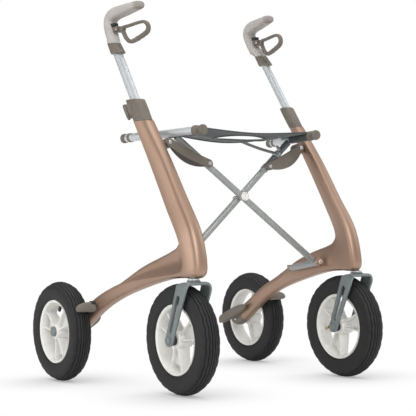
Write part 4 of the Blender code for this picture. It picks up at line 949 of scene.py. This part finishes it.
# Rear brakes and pedals: a taupe wedge with a round nose on a steel pin reaches from the leg across each rear
# tyre, with a dark bush at its root. A taupe boot closes the end of the leg, and a finned step to tip the
# walker with is screwed on beside it.
WHEEL_AT = joint_at("left_rear_wheel_spin")
BRAKE_ANGLE = radians(28)
BRAKE_AWAY = Vector((0, -cos(BRAKE_ANGLE), sin(BRAKE_ANGLE)))
BRAKE_ROUND = Vector((0, sin(BRAKE_ANGLE), cos(BRAKE_ANGLE)))
BRAKE_REACH = 0.1382
BRAKE_ROUNDING = 3
BRAKE_POINTS = 28
BRAKE_PLACES = (  # x, half height, half depth, drop of the nose
    (0.2745, 0.0100, 0.0062, 0.0), (0.2755, 0.0118, 0.0076, 0.0), (0.2790, 0.0125, 0.0080, 0.0),
    (0.2960, 0.0122, 0.0080, 0.0), (0.3080, 0.0112, 0.0078, 0.0010), (0.3180, 0.0094, 0.0072, 0.0024),
    (0.3240, 0.0074, 0.0060, 0.0034), (0.3268, 0.0050, 0.0044, 0.0040), (0.3278, 0.0024, 0.0022, 0.0042),
)
BUSH_STEPS = ((-0.0012, 0.0078), (-0.0008, 0.0088), (0.0105, 0.0088), (0.0112, 0.0080), (0.0112, 0.0050))
PEDAL_FROM = Vector((0.2312, 0.1650, 0.1630))
PEDAL_TO = Vector((0.2312, 0.2780, 0.1195))
PEDAL_WIDTH = 0.0125
PEDAL_PLACES = (  # share of the length, share of the width, half height
    (0.0, 0.30, 0.0040), (0.015, 0.42, 0.0056), (0.08, 0.62, 0.0080), (0.22, 0.88, 0.0100),
    (0.40, 1.0, 0.0108), (0.70, 1.0, 0.0106), (0.93, 0.97, 0.0098), (0.985, 0.88, 0.0082),
    (1.0, 0.72, 0.0060),
)
PEDAL_ROUND = 4
PEDAL_POINTS = 72
PEDAL_RIBS = 4
PEDAL_RIDGE = 0.0034
RIDGE_RUN = 0.25
RIDGE_FROM = 0.2

hinge = joint_at("left_brake_press")
wheel_side = Vector((0, WHEEL_AT.y, WHEEL_AT.z)) + BRAKE_AWAY * BRAKE_REACH
rings = []
for x, high, deep, drop in BRAKE_PLACES:
    at = wheel_side + SIDEWAYS * x - BRAKE_ROUND * drop
    rings.append(squared_ring(at, BRAKE_ROUND, BRAKE_AWAY, high, deep, BRAKE_ROUNDING, BRAKE_POINTS))
pair(smoothed(sweep("brake_wedge", rings), angle=45), TAUPE, "brake", "taupe_plastic", "brake_bar")
pair(smoothed(sweep("leg_boot", leg_foot), angle=40), TAUPE, "frame", "taupe_plastic")
bush = turned("brake_bush", hinge, SIDEWAYS, BUSH_STEPS, count=28)
pair(smoothed(bush), BLACK, "brake", "taupe_plastic")
rings = []
for share, wide, high in PEDAL_PLACES:
    at = PEDAL_FROM.lerp(PEDAL_TO, share)
    ring = []
    for p in squared_ring(at, SIDEWAYS, UP, PEDAL_WIDTH * wide, high, PEDAL_ROUND, PEDAL_POINTS):
        across = (p.x - at.x) / PEDAL_WIDTH
        ridge = PEDAL_RIDGE * min(1, share / RIDGE_RUN) * (0.5 - 0.5 * cos(PEDAL_RIBS * pi * (across + 1)))
        ring.append(p + UP * (ridge if p.z > at.z + RIDGE_FROM * high else 0))
    rings.append(ring)
pair(smoothed(sweep("ribbed_step", rings), angle=35), TAUPE, "frame", "taupe_plastic", "tip_pedal")
for side in SIDES:
    carried(side + "brake_pin", ZINC)
    carried(side + "rear_axle", ZINC)


# Folding cross: two grey painted tubes that cross on one bolt under a white cap, each welded to a hinge tube
# that turns on a pin in a copper bracket inside the leg. A sleeve in the forks' darker paint covers the right
# tube's upper end as painted shade.
LEAN = radians(8)
FOLD_AXIS = Vector((0, cos(LEAN), -sin(LEAN)))
CENTRE = joint_at("scissor")
FEET = {"left_": joint_at("left_hinge"), "right_": joint_at("fold")}
BEHIND = {"left_": 0.0, "right_": 0.0185}
TOP_SHARE = 0.3200 / 0.1675
BRACE_R = 0.0080
BRACE_FOOT = ((0.0087, 0.0068), (0.0110, BRACE_R))
BRACE_TOP = ((-0.0140, BRACE_R), (-0.0125, 0.0070))
HINGE_STEPS = (
    (-0.0120, 0.0070), (-0.0116, 0.0085), (-0.0040, 0.0085), (-0.0036, 0.0080), (-0.0030, 0.0080),
    (-0.0026, 0.0085), (0.0886, 0.0085), (0.0890, 0.0080), (0.0896, 0.0080), (0.0900, 0.0085),
    (0.0976, 0.0085), (0.0980, 0.0070),
)
BOSS_STEPS = ((0.0125, 0.0112), (0.0180, 0.0112), (0.0196, 0.0104), (0.0200, 0.0070))
SCREW_STEPS = ((0.0198, 0.0062), (0.0212, 0.0062), (0.0222, 0.0052), (0.0224, 0.0030), (0.0214, 0.0026))
PIVOT_STEPS = (
    (-0.0138, 0.0050), (-0.0134, 0.0088), (-0.0118, 0.0108), (-0.0086, 0.0110), (-0.0084, 0.0040),
    (0.0271, 0.0040), (0.0273, 0.0088), (0.0313, 0.0088), (0.0321, 0.0074),
)
SHADE_SLEEVE_FROM = 0.765
SHADE_SLEEVE_CUFF = ((-0.008, 0.0086), (-0.0075, 0.0098), (0.006, 0.0098), (0.0065, 0.0084))
SHADE_SLEEVE_TOP = (-0.0135, 0.0084)

GREY = mottled(
    "grey_paint", {"Metallic": 0.35, "Specular IOR Level": 0.5}, broad=(80, 5), fine=(900, 2), share=0.1,
    tones=((0.28, 0.29, 0.285), (0.40, 0.41, 0.40)), rough=(0.3, 0.2), relief=(0.00002, 0.15),
)
seat_ends = {}
for side, other in (SIDES, SIDES[::-1]):
    foot = FEET[side] + FOLD_AXIS * BEHIND[side]
    run = CENTRE + FOLD_AXIS * BEHIND[side] - foot
    length = run.length * TOP_SHARE
    seat_ends[other] = foot + run.normalized() * length
    steps = [*BRACE_FOOT, *[(length + d, r) for d, r in BRACE_TOP]]
    brace = turned(side + "brace_tube", foot, run, steps)
    fitted(smoothed(brace), GREY, side + "cross", "grey_paint", side + "brace")
    tube = turned(side + "hinge_tube", FEET[side], FOLD_AXIS, HINGE_STEPS)
    fitted(smoothed(tube), GREY, side + "cross", "grey_paint", side + "brace_hinge_tube")
    boss = turned(side + "hinge_boss", FEET[side], -FOLD_AXIS, BOSS_STEPS)
    fitted(smoothed(boss), COPPER, side + "frame", "copper_lacquer")
    screw = turned(side + "hinge_screw", FEET[side], -FOLD_AXIS, SCREW_STEPS, count=24)
    fitted(smoothed(screw), ZINC, side + "frame", "zinc_steel")
    carried(side + "hinge_bracket", COPPER)
    carried(side + "hinge_pin", ZINC)
    if side == "right_":
        # Painted shade: a sleeve in the forks' darker paint over the right tube's upper end.
        steps = [(length * SHADE_SLEEVE_FROM + d, r) for d, r in SHADE_SLEEVE_CUFF]
        steps.append((length + SHADE_SLEEVE_TOP[0], SHADE_SLEEVE_TOP[1]))
        shade_sleeve = turned("brace_shade_sleeve", foot, run, steps)
        fitted(smoothed(shade_sleeve), CAST_GREY, "right_cross", "fork_paint")
bolt = turned("cross_bolt", CENTRE, FOLD_AXIS, PIVOT_STEPS)
fitted(smoothed(bolt), IVORY, "right_cross", "rim_plastic", "centre_pivot")


# Seat bars: bright anodised tubes on the brace tops, toed out to the rear, with stepped taupe caps in front.
# Behind the posts each carries on as a stub fixed to the post's inner face, closed by a necked taupe knob.
SEAT_TOE = radians(9)
BAR_FRONT = -0.2050
BAR_REAR = -0.0750
BAR_R = 0.0100
BAR_EASE = 0.0006
CAP_SHAPE = (
    (0.0003, 0.0114), (0.0010, 0.0121), (0.0096, 0.0119), (0.0110, 0.0102), (0.0124, 0.0088),
    (0.0196, 0.0086), (0.0218, 0.0100), (0.0240, 0.0119), (0.0296, 0.0124), (0.0326, 0.0117),
    (0.0338, 0.0092), (0.0340, 0.0050),
)
STUB_FROM = Vector((0.2161, -0.1000, 0.6050))
STUB_LENGTH = 0.1320
STUB_SPREAD = 0.0110
STUB_STRAIGHT = 0.2
STUB_PLACES = (  # share of the length, half width, half height
    (0.0, 0.0030, 0.0075), (0.02, 0.0035, 0.0085), (0.30, 0.0035, 0.0100), (0.36, 0.0066, 0.0100),
    (0.42, 0.0092, 0.0100), (0.48, 0.0100, 0.0100), (0.86, 0.0100, 0.0100),
)
STUB_POINTS = 36
KNOB_SHARE = 0.73
KNOB_SHAPE = (
    (0.0, 0.0104), (0.0008, 0.0113), (0.0080, 0.0113), (0.0092, 0.0096), (0.0112, 0.0088),
    (0.0190, 0.0086), (0.0216, 0.0098), (0.0240, 0.0114), (0.0290, 0.0118), (0.0330, 0.0114),
    (0.0352, 0.0096), (0.0358, 0.0060),
)
BAR_SIDES = (("left_", 1, "right_cross"), ("right_", -1, "left_cross"))


def stub_at(share):
    """A point on the stub's middle line, which spreads outwards behind its straight part."""
    spread = STUB_SPREAD * max(0, share - STUB_STRAIGHT) / (1 - STUB_STRAIGHT)
    return STUB_FROM + Vector((spread, STUB_LENGTH * share, 0))


bars = {}
for side, way, body in BAR_SIDES:
    along = Vector((way * sin(SEAT_TOE), cos(SEAT_TOE), 0))
    front = seat_ends[side] + along * ((BAR_FRONT - seat_ends[side].y) / along.y)
    bars[side] = (front, along)
    silver = silver_anodised(side + "bar_silver", along)
    bar_steps = eased(0, (BAR_REAR - BAR_FRONT) / along.y, BAR_R, BAR_EASE, BAR_EASE)
    tube = turned(side + "seat_bar", front, along, bar_steps)
    fitted(smoothed(tube), silver, body, "silver_anodised", side + "seat_tube")
    cap = turned(side + "bar_cap", front, -along, CAP_SHAPE)
    fitted(smoothed(cap, angle=40), TAUPE, body, "taupe_plastic", side + "seat_front_cap")
rings = [squared_ring(stub_at(share), SIDEWAYS, UP, wide, high, 2, STUB_POINTS)
         for share, wide, high in STUB_PLACES]
STUB_SILVER = silver_anodised("stub_silver", Vector((0, 1, 0)))
pair(smoothed(sweep("bar_stub", rings)), STUB_SILVER, "frame", "silver_anodised", "seat_rest")
end_knob = turned("stub_knob", stub_at(KNOB_SHARE), stub_at(1) - stub_at(STUB_STRAIGHT), KNOB_SHAPE)
pair(smoothed(end_knob, angle=40), TAUPE, "frame", "taupe_plastic")


# Sling: one panel of dark woven polyester stretched between the seat bars, hemmed round a lens-shaped grab
# hole and along its front and rear edges. A cloth simulation lets it settle, pinned where it wraps the bars.
SLING_FRONT = -0.2020
SLING_REAR = -0.0780
SLING_THICK = 0.0022
SLING_RINGS = 12
SLING_PER_SIDE = 28
EDGE_IN = 0.0074
EDGE_UP = 0.0088
HOLE_X = 0.0760
HOLE_Y = 0.0330
HOLE_AT = -0.1440
HOLE_POINTED = 0.28
FRONT_SAG = 0.0020
REAR_SAG = 0.0170
SAG_SPAN = 0.175
PIN_REACH = 0.004
SETTLE_FRAMES = 24
SETTLE_PULL = 0.3
WOVEN = {
    "quality": 8, "mass": 0.25, "tension_stiffness": 60, "compression_stiffness": 60, "shear_stiffness": 20,
    "bending_stiffness": 2, "vertex_group_mass": "on_the_bars",
}
HEM_WIDE = 0.0042
HEM_HIGH = 0.0021
WRAP_REAR = -0.1180
WRAP_EASE = 0.001
WRAP_R = 0.0112
WRAP_INSIDE_R = 0.0102
WRAP_TURNS = range(-110, 40, 10)
YARNS = 4200


def sling_cloth():
    """Dark grey woven polyester: crossing yarns, slubs and slow patches of paler tone."""
    material, shader, place = new_finish("sling_cloth", {"Specular IOR Level": 0.25, "Sheen Weight": 0.2})
    yarns = []
    for axis in "XY":
        turn = place.node("SeparateXYZ", {}, {0: place}, axis) * YARNS
        yarns.append(turn.maths("SINE", turn, 0))
    weave = yarns[0] * yarns[1] * 0.5 + 0.5
    slub = place.noise(260, 4, (1, 0.15, 1))
    wear = place.noise(22, 4)
    tone = (weave * 0.25 + slub * 0.3 + wear * 0.45).blend((0.022, 0.025, 0.027), (0.092, 0.100, 0.103))
    feed(shader, Base_Color=tone, Roughness=0.66 + slub * 0.2)
    feed(shader, Normal=(weave * 0.6 + slub * 0.4).relief(0.0002, 0.3))
    return material


def slung(piece, material):
    """A soft piece gets its material, and its place is baked into its mesh."""
    piece.data.materials.clear()
    piece.data.materials.append(material)
    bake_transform(piece)


def bar_point(side, y):
    """The middle of a seat bar at a given Y."""
    front, along = bars[side]
    return front + along * ((y - front.y) / along.y)


def sling_edge(side, y):
    """Where the panel meets a bar: high on its inner side."""
    inward = -1 if side == "left_" else 1
    return bar_point(side, y) + Vector((inward * EDGE_IN, 0, EDGE_UP))


CLOTH = sling_cloth()
corners = [sling_edge("right_", SLING_FRONT), sling_edge("left_", SLING_FRONT),
           sling_edge("left_", SLING_REAR), sling_edge("right_", SLING_REAR)]
edge_points = []
for k in range(4):
    for i in range(SLING_PER_SIDE):
        edge_points.append(corners[k].lerp(corners[(k + 1) % 4], i / SLING_PER_SIDE))
rings = []
for row in range(SLING_RINGS + 1):
    ring = []
    for p in edge_points:
        t = atan2((p.y - HOLE_AT) / HOLE_Y, p.x / HOLE_X)
        reach = HOLE_Y * sin(t) * (1 - HOLE_POINTED + HOLE_POINTED * abs(sin(t)))
        at = Vector((HOLE_X * cos(t), HOLE_AT + reach, p.z)).lerp(p, row / SLING_RINGS)
        rearward = (at.y - SLING_FRONT) / (SLING_REAR - SLING_FRONT)
        sag = FRONT_SAG + (REAR_SAG - FRONT_SAG) * rearward
        at.z -= sag * (1 - min(1, abs(at.x) / SAG_SPAN) ** 2)
        ring.append(at)
    rings.append(ring)
sling = sweep("sling_panel", rings)
bpy.ops.object.mode_set(mode="EDIT")
bpy.ops.mesh.select_mode(type="FACE")
bpy.ops.mesh.select_all(action="DESELECT")
bpy.ops.mesh.select_face_by_sides(number=4, type="GREATER", extend=False)
bpy.ops.mesh.delete(type="ONLY_FACE")
bpy.ops.mesh.select_mode(type="VERT")
bpy.ops.object.mode_set(mode="OBJECT")
spot = {tuple(round(v, 5) for v in vertex.co): vertex.index for vertex in sling.data.vertices}
pins = sling.vertex_groups.new(name="on_the_bars")
for vertex in sling.data.vertices:
    for side in SIDES:
        if (vertex.co - sling_edge(side, vertex.co.y)).length < PIN_REACH:
            pins.add([vertex.index], 1, "REPLACE")
cloth = sling.modifiers.new("settle", "CLOTH")
for name, value in WOVEN.items():
    setattr(cloth.settings, name, value)
cloth.settings.effector_weights.gravity = SETTLE_PULL
cloth.point_cache.frame_end = SETTLE_FRAMES
for step in range(1, SETTLE_FRAMES + 1):
    bpy.context.scene.frame_set(step)
bpy.context.view_layer.objects.active = sling
bpy.ops.object.modifier_apply(modifier="settle")
bpy.context.scene.frame_set(1)


def hem(name, line, closed):
    """A turned and stitched edge along a line of points."""
    rings = []
    for i, point in enumerate(line):
        ahead = line[(i + 1) % len(line)] if closed else line[min(i + 1, len(line) - 1)]
        behind = line[i - 1] if closed else line[max(i - 1, 0)]
        across = (ahead - behind).cross(UP).normalized()
        rings.append(squared_ring(point, across, UP, HEM_WIDE, HEM_HIGH, 3, 12))
    return smoothed(sweep(name, rings, closed), angle=50)


settled = [vertex.co.copy() for vertex in sling.data.vertices]
lines = [[settled[spot[tuple(round(v, 5) for v in p)]] for p in ring] for ring in (rings[0], rings[-1])]
hems = [
    hem("hole_hem", lines[0], True), hem("front_hem", lines[1][:SLING_PER_SIDE + 1], False),
    hem("rear_hem", lines[1][2 * SLING_PER_SIDE:3 * SLING_PER_SIDE + 1], False),
]
thick = sling.modifiers.new("thick", "SOLIDIFY")
thick.thickness = SLING_THICK
thick.offset = 0
bpy.context.view_layer.objects.active = sling
bpy.ops.object.modifier_apply(modifier="thick")
smoothed(sling, angle=50)
for made in (sling, *hems):
    slung(made, CLOTH)
band = [(WRAP_R, radians(turn)) for turn in WRAP_TURNS]
band += [(WRAP_INSIDE_R, turn) for _, turn in reversed(band)]
for side, outward, body in BAR_SIDES:
    rings = []
    for y in (SLING_FRONT, SLING_FRONT + WRAP_EASE, WRAP_REAR - WRAP_EASE, WRAP_REAR):
        rings.append([bar_point(side, y) + Vector((-outward * r * cos(t), 0, r * sin(t))) for r, t in band])
    fitted(smoothed(sweep(side + "bar_wrap", rings), angle=50), CLOTH, body, "sling_cloth")
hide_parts("seat_sling")


# Release strap and latch: a grey web strap sewn under the sling's rear edge runs to a small bright latch that
# is clipped round the right tube's painted-shade sleeve, with a hook plate, two screws and a spring rod.
STRAP_FROM = Vector((0.0450, -0.0800, 0.5985))
STRAP_TO = Vector((0.1390, -0.1050, 0.5670))
STRAP_HALF = 0.0038
STRAP_THICK = 0.0011
STRAP_SAG = 0.0022
STRAP_PLACES = 24
STRAP_ROUND = 4
STRAP_POINTS = 16
LATCH_AT = 0.868
CLIP_LONG = 0.0150
CLIP_R = 0.0102
LATCH_PLATES = (  # along the tube, beside it, half length, half width
    (0.000, -0.0150, 0.0095, 0.0055), (-0.012, -0.0195, 0.0045, 0.0085), (0.010, 0.0130, 0.0050, 0.0065),
)
PLATE_LIFT = 0.0105
PLATE_EDGE = ((-0.0012, 0.92), (-0.0008, 1.0), (0.0008, 1.0), (0.0012, 0.92))
PLATE_ROUND = 3.5
PLATE_POINTS = 28
LATCH_SCREWS = ((0.004, -0.0150), (-0.012, -0.0225))
SCREW_LIFT = 0.0112
SMALL_SCREW = ((0, 0.0030), (0.0014, 0.0030), (0.0022, 0.0022), (0.0024, 0.0010))
ROD_BESIDE = 0.016
ROD_LIFT = 0.0095
ROD_LEAN = 0.35
ROD_STEPS = ((0, 0.0016), (0.0240, 0.0016), (0.0244, 0.0028), (0.0290, 0.0028), (0.0294, 0.0012))

WEBBING = mottled(
    "webbing", {"Specular IOR Level": 0.3}, broad=(600, 4), fine=(1500, 2, (1, 0.2, 0.2)), share=0.4,
    tones=((0.22, 0.225, 0.225), (0.40, 0.41, 0.405)), rough=(0.6, 0.25), relief=(0.0001, 0.3),
)
strap_way = (STRAP_TO - STRAP_FROM).normalized()
strap_wide = strap_way.cross(Vector((0, 1, 0))).normalized()
strap_flat = strap_way.cross(strap_wide)
rings = []
for k in range(STRAP_PLACES + 1):
    share = k / STRAP_PLACES
    at = STRAP_FROM.lerp(STRAP_TO, share) - UP * (STRAP_SAG * sin(pi * share))
    rings.append(squared_ring(at, strap_wide, strap_flat, STRAP_HALF, STRAP_THICK, STRAP_ROUND, STRAP_POINTS))
slung(smoothed(sweep("release_strap", rings), angle=40), WEBBING)

brace_run = (CENTRE - FEET["right_"]) * TOP_SHARE
brace_way = brace_run.normalized()
beside = brace_way.cross(FOLD_AXIS)
latch_at = FEET["right_"] + FOLD_AXIS * BEHIND["right_"] + brace_run * LATCH_AT
clip_steps = eased(-CLIP_LONG / 2, CLIP_LONG / 2, CLIP_R, run=0.0006, drop=0.0008)
plates = [turned("clip", latch_at, brace_way, clip_steps)]
for slide, out, long_half, wide_half in LATCH_PLATES:
    at = latch_at + brace_way * slide + beside * out - FOLD_AXIS * PLATE_LIFT
    rings = []
    for lift, shrink in PLATE_EDGE:
        size = long_half * shrink, wide_half * shrink
        rings.append(squared_ring(at + FOLD_AXIS * lift, brace_way, beside, *size, PLATE_ROUND, PLATE_POINTS))
    plates.append(sweep("plate", rings))
for slide, out in LATCH_SCREWS:
    at = latch_at + brace_way * slide + beside * out - FOLD_AXIS * SCREW_LIFT
    plates.append(turned("screw", at, -FOLD_AXIS, SMALL_SCREW, count=20))
fitted(smoothed(joined("latch", *plates)), ZINC, "right_cross", "zinc_steel")
rod_at = latch_at - beside * ROD_BESIDE - FOLD_AXIS * ROD_LIFT
rod = turned("latch_rod", rod_at, -brace_way - beside * ROD_LEAN, ROD_STEPS, count=16)
fitted(smoothed(rod), BLACK, "right_cross", "zinc_steel")


# Links: a curved taupe blade from a boss on each post to the brace beside it, with a bumper along its belly,
# held at both ends by bright screws. The right link's bumper is darkened with painted shade.
LINK_RUN = Vector((-0.1070, -0.006854, -0.048770))
LINK_FACE = 0.0038
LINK_EASE = 0.0008
LINK_STEPS = 28
LINK_BOW = 0.8
BLADE_UP = 0.0098
BLADE_SLIM = 0.25
BLADE_SWELL = 0.0062
BELLY_FROM = 0.6 * BLADE_UP
BELLY_DOWN = 0.0265
BUMPER_LAP = 0.004
BUMPER_FACE = 0.86 * LINK_FACE
LINK_SCREW = ((-0.0006, 0.0046), (0.0010, 0.0046), (0.0020, 0.0036), (0.0023, 0.0018))
LINK_PIN_R = 0.0030
LINK_BOSS = (0.0040, 0.0041, 0.0048, 0.0238)
BOSS_R = {"left_": 0.0139, "right_": 0.0121}


def plate(name, outline, normal, half, ease):
    """A flat piece with eased edges: its outline and the way its thickness runs."""
    middle = sum(outline, Vector()) / len(outline)
    rings = []
    for lift, inset in ((-half, ease), (ease - half, 0), (half - ease, 0), (half, ease)):
        rings.append([p - (p - middle).normalized() * inset + normal * lift for p in outline])
    return sweep(name, rings)


# Taupe at about a third of its brightness: painted shade for the right link's bumper.
SHADED_TAUPE = mottled(
    "dark_bumper", {"Specular IOR Level": 0.4}, broad=(160, 5), fine=(1400, 2), share=0,
    tones=((0.040, 0.031, 0.027), (0.085, 0.068, 0.060)), rough=(0.4, 0.25), relief=(0.00004, 0.25),
)
half_round = [pi * k / 10 for k in range(1, 10)]
# The right link's bumper takes the painted shade; the left one is plain taupe.
for side, way, bumper_finish in (("left_", 1, TAUPE), ("right_", -1, SHADED_TAUPE)):
    link_body = side + "link"
    pin = joint_at(link_body + "_swing")
    run = Vector((LINK_RUN.x * way, LINK_RUN.y, LINK_RUN.z))
    along = run.normalized()
    down = FOLD_AXIS.cross(along) * (-1 if FOLD_AXIS.cross(along).z > 0 else 1)
    top, blade_low, belly = [], [], []
    for k in range(LINK_STEPS + 1):
        share = k / LINK_STEPS
        bow = sin(pi * share) ** LINK_BOW
        at = pin + run * share
        top.append(at - down * (BLADE_UP * (1 - BLADE_SLIM * bow)))
        blade_low.append(at + down * (BLADE_UP + BLADE_SWELL * bow))
        belly.append(at + down * (BELLY_FROM + (BELLY_DOWN - BELLY_FROM) * bow))
    cap = [(along * sin(t) - down * cos(t)) * BLADE_UP for t in half_round]
    outline = top + [pin + run + p for p in cap] + blade_low[::-1] + [pin - p for p in cap]
    blade = plate(side + "link_blade", outline, FOLD_AXIS, LINK_FACE, LINK_EASE)
    fitted(smoothed(blade, angle=35), TAUPE, link_body, "taupe_plastic", side + "link_arm")
    crescent = [p - down * BUMPER_LAP for p in blade_low[2:-2]] + belly[-3:1:-1]
    bumper = plate(side + "link_bumper", crescent, FOLD_AXIS, BUMPER_FACE, LINK_EASE)
    fitted(smoothed(bumper, angle=35), bumper_finish, link_body, "taupe_plastic")
    screw_steps = [(LINK_FACE + d, r) for d, r in LINK_SCREW]
    screws = [turned("screw", at, -FOLD_AXIS, screw_steps, count=24) for at in (pin, pin + run)]
    fitted(smoothed(joined(side + "link_screws", *screws)), ZINC, link_body, "zinc_steel")
    radii = (LINK_PIN_R, BOSS_R[side] - LINK_EASE, BOSS_R[side], BOSS_R[side])
    boss = turned(side + "link_boss", pin, FOLD_AXIS, [(-LINK_FACE, LINK_PIN_R), *zip(LINK_BOSS, radii)])
    fitted(smoothed(boss), TAUPE, side + "frame", "zinc_steel", side + "link_pin")


low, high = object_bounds()
